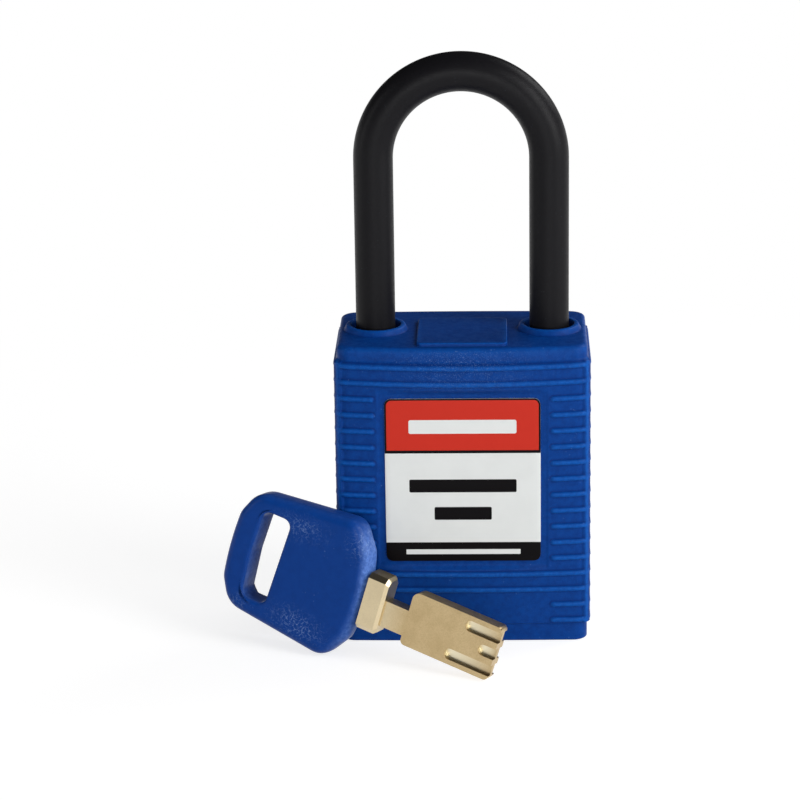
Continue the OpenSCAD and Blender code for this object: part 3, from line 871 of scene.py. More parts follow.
@dataclass(frozen=True)
class Finish:
    """A material with a name and the record's slot that it stands for."""

    name: str
    slot: str

    def dress(self, bench: Bench, shader: Node) -> None:
        """Feeds the shader; each kind of finish has its own way.

        Args:
            bench: a bench for the material's tree.
            shader: the material's shader.
        """
        raise NotImplementedError

    def material(self) -> bpy.types.Material:
        """The material, built on the first call.

        Returns:
            The material, with its nodes.
        """
        known = bpy.data.materials.get(self.name)
        if known:
            return known
        made = bpy.data.materials.new(self.name)
        bench = Bench.cleared(made)
        shader = bench.add("ShaderNodeBsdfPrincipled")
        bench.join(shader.outputs[0], bench.add("ShaderNodeOutputMaterial").inputs["Surface"])
        self.dress(bench, shader)
        return made

    @staticmethod
    def coat(
        bench: Bench, shader: Node, colour: Socket, pattern: Socket, roughness: Pair, normal: Socket
    ) -> None:
        """Feeds a shader its colour, its normal and its roughness.

        The roughness has a middle value and a span, through which a pattern from 0 to 1
        leads it.

        Args:
            bench: a bench for the material's tree.
            shader: the material's shader.
            colour: the colour over the surface.
            pattern: 0 to 1 over the surface.
            roughness: the middle value and the span.
            normal: the normal over the surface.
        """
        middle, span = roughness
        rough = bench.math("MULTIPLY_ADD", pattern, span, middle - span / 2)
        bench.fed(shader, {"Base Color": colour, "Roughness": rough, "Normal": normal})

    @staticmethod
    def object_place(bench: Bench) -> Socket:
        """The coordinates of the object, in metres."""
        return bench.add("ShaderNodeTexCoord").outputs["Object"]

    @staticmethod
    def mask(bench: Bench, name: str) -> Socket:
        """A value kept on the piece's points, 0 where it has none."""
        return bench.add("ShaderNodeAttribute", attribute_name=name).outputs["Fac"]


@dataclass(frozen=True)
class MouldedNylon(Finish):
    """Fibre-filled nylon: mottled colour, fine grain, painted shade beside ridges and at feet, paler crests
    that are partly rubbed and partly a painted highlight, specks and dust.
    """

    colour: Triple
    shade: Triple
    worn_and_lit: Triple
    sheen: float = 0.3
    roughness: float = 0.42
    grain: float = 0.05
    fineness: float = 3000.0
    wear_and_highlight: float = 0.4
    specks: float = 0.5
    marks: float = 0.0
    haze: float = 0.0
    mottling: float = 0.55
    crevice_shade_share: float = 0.92
    rough_span: float = 0.1
    dust: Triple = (0.1, 0.13, 0.16)

    def dress(self, bench: Bench, shader: Node) -> None:
        """Colour from mottling, painted shade, rubbed edges with a painted highlight, specks, haze and
        marks; bump from the grain.

        Args:
            bench: a bench for the material's tree.
            shader: the material's shader.
        """
        at, times = self.object_place(bench), bench.times
        grain = bench.group(MOULDED_GRAIN, Vector=at, Fineness=self.fineness)
        base = bench.mix(times(grain["Mottle"], self.mottling), self.colour, self.shade)
        # Painted shade: the shade colour goes where the piece's mask marks shade beside ridges and at feet.
        base = bench.mix(times(self.mask(bench, "crevice_shade"), self.crevice_shade_share), base, self.shade)
        # Partly rubbing and partly a painted highlight: the paler colour goes on the masked crests and
        # edges.
        crest = self.mask(bench, "crest")
        wear_and_highlight = bench.group(EDGE_WEAR_AND_HIGHLIGHT, Vector=at, Edge=crest, Amount=self.wear_and_highlight)
        base = bench.mix(wear_and_highlight["Wear_and_highlight"], base, self.worn_and_lit)
        pale = times(grain["Specks"], self.specks)
        if self.haze > 0.0:
            grains = bench.band(bench.noise(at, 5200.0, detail=4.0, rough=0.75), low=0.5, high=0.78)
            share = times(self.mask(bench, "scuff"), self.haze)
            pale = bench.most(pale, times(grains, share))
        if self.marks > 0.0:
            amount = times(self.mask(bench, "scuff"), self.marks)
            pale = bench.most(pale, bench.group(FLOW_MARKS, Vector=at, Amount=amount)["Marks"])
        pale_colour = tuple(0.6 * worn_and_lit + dust for worn_and_lit, dust in zip(self.worn_and_lit, self.dust))
        shader.inputs["Specular IOR Level"].default_value = self.sheen
        self.coat(
            bench, shader, bench.mix(pale, base, pale_colour), grain["Mottle"],
            (self.roughness, self.rough_span), bench.bump(grain["Height"], self.grain, 0.1),
        )


@dataclass(frozen=True)
class PrintField:
    """One field of print, in millimetres from the sheet's lower left corner."""

    across: float
    up: float
    half_w: float
    half_h: float
    corner: float
    ink: Triple


@dataclass(frozen=True)
class PrintedSheet(Finish):
    """A satin film printed with plain fields of colour."""

    paper: Triple
    fields: tuple[PrintField, ...]
    roughness: float = 0.38
    rough_span: float = 0.12
    sheen: float = 0.05
    shading: float = 0.965
    tooth: float = 0.02
    cut_edge: Triple = (0.5, 0.52, 0.55)
    cut_share: float = 0.35

    def dress(self, bench: Bench, shader: Node) -> None:
        """Lays each field over the paper; a soft unevenness tints the paper and the gloss.

        Args:
            bench: a bench for the material's tree.
            shader: the material's shader.
        """
        sheet = bench.add("ShaderNodeUVMap", uv_map="sheet").outputs["UV"]
        at = self.object_place(bench)
        cloud = bench.noise(at, 300.0)
        shaded = tuple(self.shading * c for c in self.paper)
        tone = bench.mix(bench.band(cloud, low=0.3, high=0.8), self.paper, shaded)
        for field in self.fields:
            inside = bench.group(
                PRINTED_FIELD, Vector=sheet, Across=field.across, Up=field.up,
                Half_width=field.half_w, Half_height=field.half_h, Corner=field.corner,
            )
            tone = bench.mix(inside["Field"], tone, field.ink)
        edge = bench.times(self.mask(bench, "edge"), self.cut_share)
        shader.inputs["Specular IOR Level"].default_value = self.sheen
        self.coat(
            bench, shader, bench.mix(edge, tone, self.cut_edge), cloud,
            (self.roughness, self.rough_span),
            bench.bump(bench.noise(at, 5000.0, detail=2.0), self.tooth, 0.1),
        )


@dataclass(frozen=True)
class CutMetal(Finish):
    """Milled, turned or drawn metal: fine tool lines, a little tarnish, painted highlight on cut places and
    painted shade on upward faces.
    """

    colour: Triple
    tarnish: Triple
    roughness: float = 0.34
    rough_span: float = 0.16
    lines: float = 0.08
    fresh_and_highlight: Triple = (0.9, 0.82, 0.6)
    grain: float = 0.0
    upward_shade: float = 0.0
    upward_shade_colour: Triple = (0.1, 0.065, 0.035)
    patches: float = 0.45
    streaks: float = 0.18

    def dress(self, bench: Bench, shader: Node) -> None:
        """Colour between clean and tarnished, roughness and bump from the tool lines.

        Tarnish takes patches, streaks along the tool lines and fine spots; cut places are
        brightened, partly bare new metal and partly a painted highlight; and upward faces are darkened by a
        painted shade.

        Args:
            bench: a bench for the material's tree.
            shader: the material's shader.
        """
        at, times = self.object_place(bench), bench.times
        cut = bench.group(TOOL_LINES, Vector=at)
        base = bench.mix(times(cut["Tarnish"], self.patches), self.colour, self.tarnish)
        streak = bench.band(cut["Lines"], low=0.3, high=0.7)
        base = bench.mix(times(streak, self.streaks), base, self.tarnish)
        if self.grain > 0.0:
            spots = bench.band(bench.noise(at, 4200.0, detail=4.0, rough=0.7), low=0.42, high=0.68)
            base = bench.mix(times(spots, self.grain), base, self.tarnish)
        # Painted highlight, partly bare new metal: masked cut places go towards a bright colour.
        base = bench.mix(self.mask(bench, "fresh_cut_and_highlight"), base, self.fresh_and_highlight)
        # Painted shade: faces that point up are darkened.
        if self.upward_shade > 0.0:
            normal = bench.parts(bench.add("ShaderNodeNewGeometry").outputs["Normal"])
            upward = bench.band(normal["Z"], low=0.55, high=0.85)
            base = bench.mix(times(upward, self.upward_shade), base, self.upward_shade_colour)
        shader.inputs["Metallic"].default_value = 1.0
        self.coat(
            bench, shader, base, cut["Lines"],
            (self.roughness, self.rough_span), bench.bump(cut["Lines"], self.lines, 0.05),
        )


RED_INK: Triple = (0.56, 0.033, 0.02)
BLACK_INK: Triple = (0.0045, 0.0038, 0.0045)
WHITE_INK: Triple = (0.74, 0.76, 0.75)


class Finishes:
    """The finishes of this padlock and its key."""

    # The paler colour goes on ridges, corners and the top's lip, partly rubbing and partly a painted
    # highlight; the shade colour also serves as painted shade.
    BODY = MouldedNylon(
        "moulded_body", "body_nylon", colour=(0.001, 0.046, 0.25), shade=(0.0004, 0.021, 0.15),
        worn_and_lit=(0.004, 0.108, 0.47), sheen=0.08, roughness=0.46, grain=0.16, fineness=3000.0,
        wear_and_highlight=0.8, specks=0.4, haze=0.95,
    )
    # Its paler colour is mostly a painted highlight along the end next to the blade.
    KEY_HEAD = MouldedNylon(
        "moulded_key_head", "key_head_nylon", colour=(0.0015, 0.046, 0.27),
        shade=(0.001, 0.036, 0.21), worn_and_lit=(0.13, 0.26, 0.68), sheen=0.12, roughness=0.34,
        grain=0.05, fineness=2600.0, wear_and_highlight=0.9, specks=0.3, marks=1.0, haze=0.5,
    )
    SHACKLE = MouldedNylon(
        "moulded_shackle", "shackle_nylon", colour=(0.0066, 0.0063, 0.0078),
        shade=(0.0056, 0.0053, 0.0066), worn_and_lit=(0.03, 0.03, 0.034), sheen=0.12, roughness=0.42,
        grain=0.1, fineness=4200.0, wear_and_highlight=0.3, specks=0.12,
    )
    LABEL = PrintedSheet(
        "printed_film", "label_sheet", paper=WHITE_INK,
        fields=(
            PrintField(12.45, 23.02, 12.45, 4.58, 1.1, BLACK_INK),
            PrintField(12.45, 20.4, 12.45, 1.96, 0.05, BLACK_INK),
            PrintField(12.45, 23.14, 12.15, 4.2, 0.85, RED_INK),
            PrintField(12.45, 20.9, 12.15, 1.96, 0.05, RED_INK),
            PrintField(12.45, 1.6, 12.5, 1.65, 0.05, BLACK_INK),
            PrintField(12.45, 22.9, 8.6, 1.15, 0.3, WHITE_INK),
            PrintField(12.45, 12.9, 8.6, 1.1, 0.25, BLACK_INK),
            PrintField(12.45, 8.2, 4.6, 1.1, 0.25, BLACK_INK),
            PrintField(12.45, 1.62, 9.2, 0.42, 0.1, WHITE_INK),
        ),
    )
    KEY_BRASS = CutMetal(
        "milled_brass", "key_brass", colour=(0.64, 0.49, 0.27), tarnish=(0.44, 0.31, 0.15),
        lines=0.05, grain=0.4, upward_shade=0.55,
    )
    LOCK_BRASS = CutMetal(
        "turned_brass", "lock_brass", colour=(0.56, 0.41, 0.21), tarnish=(0.3, 0.2, 0.09)
    )
    STEEL = CutMetal(
        "turned_steel", "steel", colour=(0.5, 0.51, 0.53), tarnish=(0.28, 0.28, 0.29),
        roughness=0.3,
    )
    SPRING = CutMetal(
        "drawn_wire", "spring_steel", colour=(0.42, 0.43, 0.45), tarnish=(0.2, 0.2, 0.21),
        lines=0.04,
    )


def settle(obj: Piece, finish: Finish, body: Body, replaced: str) -> Piece:
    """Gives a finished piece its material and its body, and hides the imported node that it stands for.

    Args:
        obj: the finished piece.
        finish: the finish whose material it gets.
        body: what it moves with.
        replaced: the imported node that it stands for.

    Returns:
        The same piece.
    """
    obj.data.materials.clear()
    obj.data.materials.append(finish.material())
    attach(obj, body.value)
    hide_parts(replaced)
    obj.data.calc_loop_triangles()
    count = len(obj.data.loop_triangles)
    log.info("%s: %d triangles on %s for %s", obj.name, count, body.value, replaced)
    return obj


# ---------------------------------------------------------------- sub-assemblies


@dataclass
class PadlockBody:
    """The moulded block: ridges all round, a flat panel, a pad and two collars on top.

    The slopes of the strips and the panel are pairs: where the slope starts and its length.
    A way is a radius and a height.
    """

    width: float = 40.0
    depth: float = 21.0
    height: float = 50.0
    corner: float = 2.0
    top_round: float = 0.85
    base_round: float = 0.4
    edge_steps: int = 8
    band: float = 3.0
    zone_step: float = 0.25
    zone_top: float = 47.4
    zone_fall: float = 0.55
    crown_back: float = 0.4
    crown_heights: Triple = (11.9, 47.0, 49.3)
    crowns: tuple[float, ...] = (0.25, 1.1, 2.2, 1.5)
    rib_pitch: float = 2.7
    rib_reach: float = 0.48
    rib_height: float = 0.3
    rib_fullness: float = 0.6
    first_rib: float = 3.8
    rib_count: int = 17
    full_ribs: tuple[int, ...] = (2, 3, 15, 16)
    rib_end: float = 14.0
    strip_start: Pair = (24.0, 9.0)
    strip_end: Pair = (80.0, 8.0)
    panel_half: float = 13.55
    panel_soft: float = 0.5
    panel_low: float = 13.3
    panel_high: float = 42.7
    panel_foot: Pair = (0.75, 1.0)
    panel_brow: Pair = (0.85, 1.2)
    panel_out_low: float = 0.75
    panel_out_high: float = 1.3
    front_stations: tuple[Run, ...] = ((0.9, 11.7, 13), (12.6, 15.0, 17), (15.4, 17.8, 4))
    side_stations: int = 6
    corner_turns: tuple[float, ...] = (0, 9, 18, 23, 27, 31, 35, 42, 50, 58, 66, 71, 75, 79, 84, 90)
    rib_rows: tuple[float, ...] = (0.0, 0.12, 0.24, 0.33, 0.4, 0.45, 0.49, 0.56, 0.75, 1.05, 1.35)
    base_rows: Triple = (1.0, 3.0, 5.0)
    step_rows: tuple[Run, ...] = ((0.0, 0.25, 5), (0.0, 0.6, 6), (-1.0, 0.4, 8), (-0.5, 1.1, 9))
    least_row: float = 0.035
    cap_line: float = 8.0
    cap_shares: tuple[float, ...] = (0.94, 0.75, 0.5, 0.25, 0.0)
    pad_half: float = 7.2
    pad_len: float = 15.0
    pad_h: float = 0.55
    pad_corner: float = 0.9
    pad_edge: float = 0.22
    leg_x: float = 14.0
    collar_r: float = 5.1
    collar_h: float = 0.9
    mouth_r: float = 4.0
    mouth_depth: float = 2.0
    bore_r: float = 3.375
    heel_floor: float = 3.5
    toe_floor: float = 37.7
    chamber_r: float = 7.55
    chamber_break: Pair = (0.25, 0.3)
    chamber_top: float = 38.5
    groove_r: float = 8.15
    groove: Pair = (1.1, 2.15)
    loft_r: float = 7.3
    loft_top: float = 46.5
    ball_way: Pair = (2.3, 43.0)
    dowel_way: Pair = (1.55, 33.6)

    def rib_fields(self, x: Array, z: Array) -> tuple[Array, Array]:
        """Where the ridges are.

        With t the distance to the nearest ridge's middle line over its reach, a ridge
        stands (1 - t^2)^0.6 of its height; a short ridge's line ends beside the panel, so
        its distance grows towards the middle in a round end. The painted shade is a bell
        beside the ridge, deeper over it than under it.

        Args:
            x: across the body.
            z: up the body.

        Returns:
            The share of a ridge's height, and the painted shade beside it.
        """
        i = np.clip(np.rint((z - self.first_rib) / self.rib_pitch), 0, self.rib_count - 1)
        up = z - self.first_rib - i * self.rib_pitch
        short = ~np.isin(i, self.full_ribs)
        in_from_end = np.maximum(self.rib_end + self.rib_reach - np.abs(x), 0.0) * short
        t = np.sqrt(up**2 + in_from_end**2) / self.rib_reach
        rib = np.clip(1.0 - t**2, 0.0, 1.0) ** self.rib_fullness
        return rib, bell(t, middle=1.26, reach=0.26) * (0.65 + 0.35 * np.sign(up))

    def columns(self) -> tuple[Array, Array, Array]:
        """The stations round the body: each upright corner, then the straight side after it.

        Returns:
            (n, 2) shares of the corners' centres, (n, 2) normals, and how much of the strip
            along an upright corner, which is level with the ridges, a station has.
        """
        right = np.concatenate([np.linspace(*run) for run in self.front_stations])
        flat_half = self.width / 2 + self.zone_step - self.corner
        front = np.concatenate([-right[::-1], right]) / flat_half
        side = np.linspace(-1.0, 1.0, self.side_stations + 2)[1:-1]
        phi = np.radians(self.corner_turns)
        share, normal = [], []
        corners = ((1, 1), (-1, 1), (-1, -1), (1, -1))
        facing = ((0, 1), (-1, 0), (0, -1), (1, 0))
        runs = (front[::-1], side[::-1], front, side)
        for turn, (corner, (nx, ny), run) in enumerate(zip(corners, facing, runs)):
            a = (phi if turn % 2 else math.pi / 2 - phi[::-1]) + turn * math.pi / 2
            share.append(np.tile(np.array(corner, float), (len(a), 1)))
            normal.append(np.stack([np.cos(a), np.sin(a)], -1))
            level = np.full(len(run), float(nx or ny))
            share.append(np.stack([run, level] if ny else [level, run], -1))
            normal.append(np.tile(np.array([nx, ny], float), (len(run), 1)))
        normals = np.vstack(normal)
        off = np.degrees(np.arctan2(np.abs(normals[:, 0]), np.abs(normals[:, 1])))
        strip = above(off, *self.strip_start) * below(off, *self.strip_end)
        return np.vstack(share), normals, strip

    def heights(self) -> Array:
        """Row heights up the side: close together on ridges and steps, open between.

        The step rows lie about the band's top, the zone's top and the panel's two ends.

        Returns:
            (rows,) heights, upwards.
        """
        rise = np.array(self.rib_rows)
        ribs = self.first_rib + self.rib_pitch * np.arange(self.rib_count)
        near_ribs = (ribs[:, None] + np.concatenate([-rise[:0:-1], rise])[None, :]).ravel()
        edges = (self.band, self.zone_top, self.panel_low, self.panel_high)
        steps = [edge + np.linspace(*run) for edge, run in zip(edges, self.step_rows)]
        steps.append(self.base_round * np.array(self.base_rows))
        rows = np.unique(np.round(np.concatenate([near_ribs, *steps]), 2))
        rows = rows[(rows >= self.base_round) & (rows <= self.height - self.top_round)]
        return rows[np.concatenate([[True], np.diff(rows) > self.least_row])]

    def ring(self, z: Array, grow: Array) -> Array:
        """Points of the side at each height and station.

        The plan is a rounded rectangle; its front and back are bowed by a crown c as
        c (1 - (x / half width)^2). The ridged zone and its ridges grow the plan; the flat
        panel then takes over where its own soft-edged mask says so.

        Args:
            z: (rows,) heights.
            grow: (rows,) how far the plain plan is grown.

        Returns:
            (rows, columns, 3) points.
        """
        share, normal, strip = self.columns()
        fall = self.zone_fall
        zone = above(z, self.band, self.zone_step) * below(z, self.zone_top + fall, fall)
        (waist, full, shoulder), (least, middle, most, top) = self.crown_heights, self.crowns
        at = [0, self.base_round, waist, full, shoulder, self.height]
        block = np.interp(z, at, [least, least, middle, most, top, top])
        outer = np.interp(z, [0, waist, full, self.height], [least, middle, most, most])
        crown = block + (outer - block) * zone
        flat_x = share[:, 0] * (self.width / 2 + self.zone_step - self.corner)
        rib = np.maximum(self.rib_fields(flat_x[None, :], z[:, None])[0], strip[None, :])
        total = grow[:, None] + zone[:, None] * (self.zone_step + self.rib_height * rib)
        half_w, half_d = self.width / 2 + total, self.depth / 2 + total
        x = share[:, 0] * (half_w - self.corner) + self.corner * normal[:, 0]
        y = share[:, 1] * (half_d - self.corner) + self.corner * normal[:, 1]
        bow = 1.0 - (x / half_w) ** 2
        front = y < 0
        y = y + np.where(front, -crown[:, None] * bow, self.crown_back * bow)
        slope = (self.panel_out_high - self.panel_out_low) / (self.panel_high - self.panel_low)
        plane = -self.depth / 2 - self.panel_out_low - slope * (z - self.panel_low)
        across = below(np.abs(x), self.panel_half + self.panel_soft / 2, self.panel_soft)
        (foot, foot_len), (brow, brow_len) = self.panel_foot, self.panel_brow
        upright = above(z, self.panel_low - foot, foot_len)
        upright = upright * below(z, self.panel_high + brow, brow_len)
        y = y + (plane[:, None] - y) * (across * upright[:, None] * front)
        return np.stack([x, y, np.repeat(z[:, None], x.shape[1], axis=1)], -1)

    def skin(self) -> Piece:
        """The closed outside: flat caps drawn in to a middle line, round edges, ridged side.

        Returns:
            The shell, still whole.
        """
        inward, down = round_edge(self.edge_steps)
        side_z = self.heights()
        top_z = self.height - self.top_round * down[1:]
        z = np.concatenate([self.base_round * inward[:-1], side_z, top_z])
        level = np.zeros(len(side_z))
        grow = [-self.base_round * down[:-1], level, -self.top_round * inward[1:]]
        rows = self.ring(z, np.concatenate(grow))
        base, top = (cap_rings(rows[i], (self.cap_line, 0.0), self.cap_shares) for i in (0, -1))
        return surface("body_shell", np.concatenate([base[::-1], rows, top]))

    def hollows(self) -> list[Piece]:
        """What is cut out: the lock's chamber, the legs' wells, the balls' and dowel's ways.

        Returns:
            The closed shapes to cut with.
        """
        r, (lip, size), (low, high) = self.chamber_r, self.chamber_break, self.groove
        chamber = revolved("chamber", [
            (0, -OVERRUN), (r + size, -OVERRUN), (r + size, lip - size), (r, lip), (r, low),
            (self.groove_r, low), (self.groove_r, high), (r, high), (r, self.chamber_top),
            (self.loft_r, self.chamber_top), (self.loft_r, self.loft_top), (0, self.loft_top),
        ], cols=96)
        tools = [chamber]
        for side, floor in ((Side.HEEL, self.heel_floor), (Side.TOE, self.toe_floor)):
            bore, mouth, mouth_z = self.bore_r, self.mouth_r, self.height - self.mouth_depth
            section = [
                (0, floor), (bore, floor), (bore, mouth_z - 0.3), (bore + 0.3, mouth_z),
                (mouth, mouth_z), (mouth, self.height + OVERRUN), (0, self.height + OVERRUN),
            ]
            tools.append(revolved("well", section, (side.value * self.leg_x, 0.0, 0.0)))
        for (r, z), end in ((self.ball_way, self.leg_x), (self.dowel_way, 0.0)):
            section = [(0, -self.leg_x), (r, -self.leg_x), (r, end), (0, end)]
            tools.append(revolved("way", section, (0.0, 0.0, z), "x"))
        return tools

    def collar(self, side: Side) -> Piece:
        """A collar: a closed section turned round the leg, with a soft rim and foot.

        Args:
            side: the leg that it goes round.

        Returns:
            The collar, with its masks.
        """
        base, top = self.height - 0.02, self.height + self.collar_h
        r, inner = self.collar_r, self.mouth_r
        section = [
            (inner, base), (r + 0.14, base), (r + 0.04, base + 0.1), (r - 0.06, base + 0.3),
            (r - 0.26, top - 0.26), (r - 0.36, top - 0.1), (r - 0.52, top - 0.02), (r - 0.68, top),
            (inner + 0.24, top), (inner + 0.1, top - 0.05), (inner + 0.02, top - 0.2),
        ]
        centre = (side.value * self.leg_x, 0.0, 0.0)
        obj = revolved("collar", section, centre, closed=True, cols=96)
        up = (read_points(obj)[:, 2] - self.height) / self.collar_h
        # Painted highlight on the rim and painted shade at the foot.
        write_mask(obj, "crest", 0.55 * above(up, edge=0.6, width=0.4))
        write_mask(obj, "crevice_shade", 0.8 * below(up, edge=0.2, width=0.2))
        return obj

    def top_pad(self) -> Piece:
        """The raised pad: a rounded rectangle carried up, drawn in round its top edge.

        Returns:
            The pad, with its masks.
        """
        half_w, half_d, rise, edge = self.pad_half, self.pad_len / 2, self.pad_h, self.pad_edge
        middle = half_d - self.depth / 2
        inward, down = round_edge(6)
        inset = np.concatenate([[-0.06, 0.0], edge * inward])
        z = np.concatenate([[-0.05, 0.08], rise - edge * down]) + self.height
        loop = resampled(rounded_loop(half_w, half_d, self.pad_corner), 160)
        walls = carried_up(loop, inset, z)
        base = cap_rings(walls[0], (0.0, 2.0), (0.0, 0.6))
        top = cap_rings(walls[-1], (0.0, 2.0), (0.9, 0.5, 0.0))
        points = np.concatenate([base, walls, top])
        obj = surface("pad", points + np.array([0.0, middle, 0.0]))
        x, y, z = read_points(obj).T
        rim = np.minimum(half_w - np.abs(x), half_d - np.abs(y - middle))
        up = (z - self.height) / rise
        near_rim = below(rim, edge=0.45, width=0.45)
        # Painted highlight along the top of the rim and painted shade at the foot.
        write_mask(obj, "crest", 0.8 * near_rim * above(up, edge=0.5, width=0.5))
        write_mask(obj, "crevice_shade", 0.6 * below(up, edge=0.3, width=0.3))
        return obj

    def mark_wear_and_light(self, shell: Piece) -> None:
        """Writes where the shell gets painted highlight and painted shade, and where it is dusty.

        The ridges are paler, partly rubbed and partly a painted highlight; a painted highlight also
        runs along the strips' edges at the upright corners and the lip of the top; painted shade lies
        beside the ridges and beyond the corners; dust lies on the middle of the front under the top edge,
        and thinly on all the sides.

        Args:
            shell: the cut shell.
        """
        x, y, z = read_points(shell).T
        rib, crevice_shade = self.rib_fields(x, z)
        across, deep = np.abs(x), np.abs(y)
        outside = (across > self.width / 2 - 1.2) | (deep > self.depth / 2 - 0.2)
        zone = outside & (z > self.band) & (z < self.zone_top + 0.6)
        # Painted highlight along the lip of the top and down each upright corner; painted shade on the band
        # beyond the corner.
        lip = 0.35 * above(z, edge=48.9, width=0.6) * below(z, edge=50.02, width=0.3) * outside
        corner = 1.15 * bell(across, middle=19.92, reach=0.24) * above(deep, edge=9.3, width=0.4)
        beyond = above(across, edge=20.1, width=0.2) * above(deep, edge=8.9, width=0.4)
        # The ridges' paler tops are partly rubbing and partly a painted highlight.
        crest = np.maximum(rib**1.8 * (1.0 - 0.6 * beyond), corner) * zone + lip
        write_mask(shell, "crest", crest)
        write_mask(shell, "crevice_shade", np.maximum(crevice_shade, 0.8 * beyond * (1.0 - rib)) * zone)
        middle = bell(x, middle=0.0, reach=9.0) * (y < -10.0)
        top = above(z, edge=41.5, width=4.0) * below(z, edge=49.9, width=0.8)
        write_mask(shell, "scuff", middle * top + 0.11 * below(z, edge=50.1, width=0.8))

    def build(self) -> Piece:
        """Cuts the shell, adds the pad and the collars, and dresses them.

        Returns:
            The body as one piece.
        """
        shell = combine(self.skin(), self.hollows(), "DIFFERENCE", crease=44.0)
        self.mark_wear_and_light(shell)
        parts = [shell, self.top_pad(), *(self.collar(side) for side in Side)]
        return settle(joined("body_shell", parts), Finishes.BODY, Body.LOCK, "body")


@dataclass
class LabelSheet:
    """The printed film on the flat panel."""

    width: float = 24.9
    height: float = 27.6
    corner: float = 1.1
    thickness: float = 0.25
    margin: float = 0.9
    soft: float = 0.1
    shares: tuple[float, ...] = (0.93, 0.8, 0.6, 0.4, 0.2, 0.0)

    def build(self, body: PadlockBody) -> Piece:
        """The sheet: rings of its outline drawn in, with a soft upper edge, on the panel.

        A point (u, v) of the sheet at height n lies at v along the panel's slope and n out
        of it.

        Args:
            body: the block whose panel carries it.

        Returns:
            The dressed sheet.
        """
        inward, down = round_edge(4)
        inset = np.concatenate([[0.0, 0.0], self.soft * inward])
        out = np.concatenate([[0.0, 0.04], self.thickness - self.soft * down])
        half_w, half_h = self.width / 2, self.height / 2
        loop = resampled(rounded_loop(half_w, half_h, self.corner, steps=10), 240)
        walls = carried_up(loop, inset, out)
        back, face = (cap_rings(walls[i], (0.0, 0.0), self.shares) for i in (0, -1))
        flat = np.concatenate([back[::-1], walls, face])
        u, v, n = np.moveaxis(flat, -1, 0)
        rise = body.panel_out_high - body.panel_out_low
        tilt = math.atan(rise / (body.panel_high - body.panel_low))
        run = v + half_h + self.margin
        panel = -body.depth / 2 - body.panel_out_low
        y = panel - run * math.sin(tilt) - n * math.cos(tilt)
        z = body.panel_low + run * math.cos(tilt) - n * math.sin(tilt)
        edge = np.zeros(u.shape)
        edge[len(self.shares):len(self.shares) + 3] = 1.0
        sheet = flat[..., :2] + np.array([half_w, half_h])
        obj = surface("label_film", np.stack([u, y, z], -1), masks={"edge": edge}, sheet=sheet)
        return settle(obj, Finishes.LABEL, Body.LOCK, "label")


@dataclass
class Shackle:
    """The nylon bow: a round rod up the long leg, over the arch and down the short one."""

    radius: float = 3.175
    leg_x: float = 14.0
    arch_z: float = 78.175
    toe_z: float = 37.9
    heel_z: float = 15.0
    neck: Pair = (18.0, 35.2)
    neck_r: float = 2.1
    leg_rows: int = 26
    arch_rows: int = 97
    toe_rows: int = 24
    sides: int = 72
    neck_break: float = 0.15
    end_break: float = 0.5
    ball: Pair = (9.475, 43.0)
    ball_clear_r: float = 2.35
    ball_way: Pair = (4.0, 14.0)

    def rod(self) -> Piece:
        """A circle of changing radius carried along the bow's middle line.

        The line is two straight legs and a half circle; at each station the circle lies in
        the plane of the line's own normal N and Y: centre + r (cos a N + sin a Y).

        Returns:
            The closed rod, without notches.
        """
        r, end, small, (low, top) = self.radius, self.end_break, self.neck_break, self.neck
        heel_z, heel_r = np.array([
            (self.heel_z, 0.0), (self.heel_z, r - end), (self.heel_z + end, r),
            (low - small, r), (low, r - small), (low, self.neck_r),
            (top, self.neck_r), (top, r - small), (top + small, r),
        ]).T
        leg = np.linspace(top + 1.0, self.arch_z, self.leg_rows)[:-1]
        arch = np.linspace(0.0, math.pi, self.arch_rows)
        toe = np.linspace(self.arch_z, self.toe_z + end, self.toe_rows)[1:]
        before, after = len(heel_z) + len(leg), len(toe) + 2
        turn = np.concatenate([np.zeros(before), arch, np.full(after, math.pi)])
        x = -self.leg_x * np.cos(turn)
        over = self.arch_z + self.leg_x * np.sin(arch)
        z = np.concatenate([heel_z, leg, over, toe, [self.toe_z, self.toe_z]])
        full = np.full(len(leg) + len(arch) + len(toe), r)
        radii = np.concatenate([heel_r, full, [r - end, 0.0]])[:, None, None]
        normal = np.stack([-np.cos(turn), 0 * turn, np.sin(turn)], -1)[:, None, :]
        phi = np.linspace(0.0, FULL_TURN, self.sides, endpoint=False)[None, :, None]
        circle = np.cos(phi) * normal + np.sin(phi) * np.array([0.0, 1.0, 0.0])
        return surface("shackle_bow", np.stack([x, 0 * x, z], -1)[:, None, :] + radii * circle)

    def ball_notch(self, side: Side) -> Piece:
        """The way a ball takes past the rising leg: a capsule, inwards and down.

        Args:
            side: the leg that it cuts.

        Returns:
            The closed shape to cut with.
        """
        r, (run, drop) = self.ball_clear_r, self.ball_way
        a = np.radians(np.linspace(0.0, 90.0, 13))
        foot = np.stack([r * np.sin(a), -math.hypot(run, drop) - r * np.cos(a)], -1)
        head = np.stack([r * np.cos(a), r * np.sin(a)], -1)
        obj = revolved("notch", [tuple(p) for p in np.vstack([foot, head])])
        tilted = turned(read_points(obj), "y", side.value * math.atan2(run, drop))
        return write_points(obj, tilted + np.array([side.value * self.ball[0], 0.0, self.ball[1]]))

    def build(self) -> Piece:
        """The bow as one dressed piece."""
        bow = combine(self.rod(), [self.ball_notch(side) for side in Side], "DIFFERENCE")
        return settle(bow, Finishes.SHACKLE, Body.SHACKLE, "shackle")


@dataclass(frozen=True)
class Scuff:
    """A scuffed patch of the key's head: its middle, its reach each way and its strength."""

    x: float
    z: float
    wide: float
    high: float
    amount: float


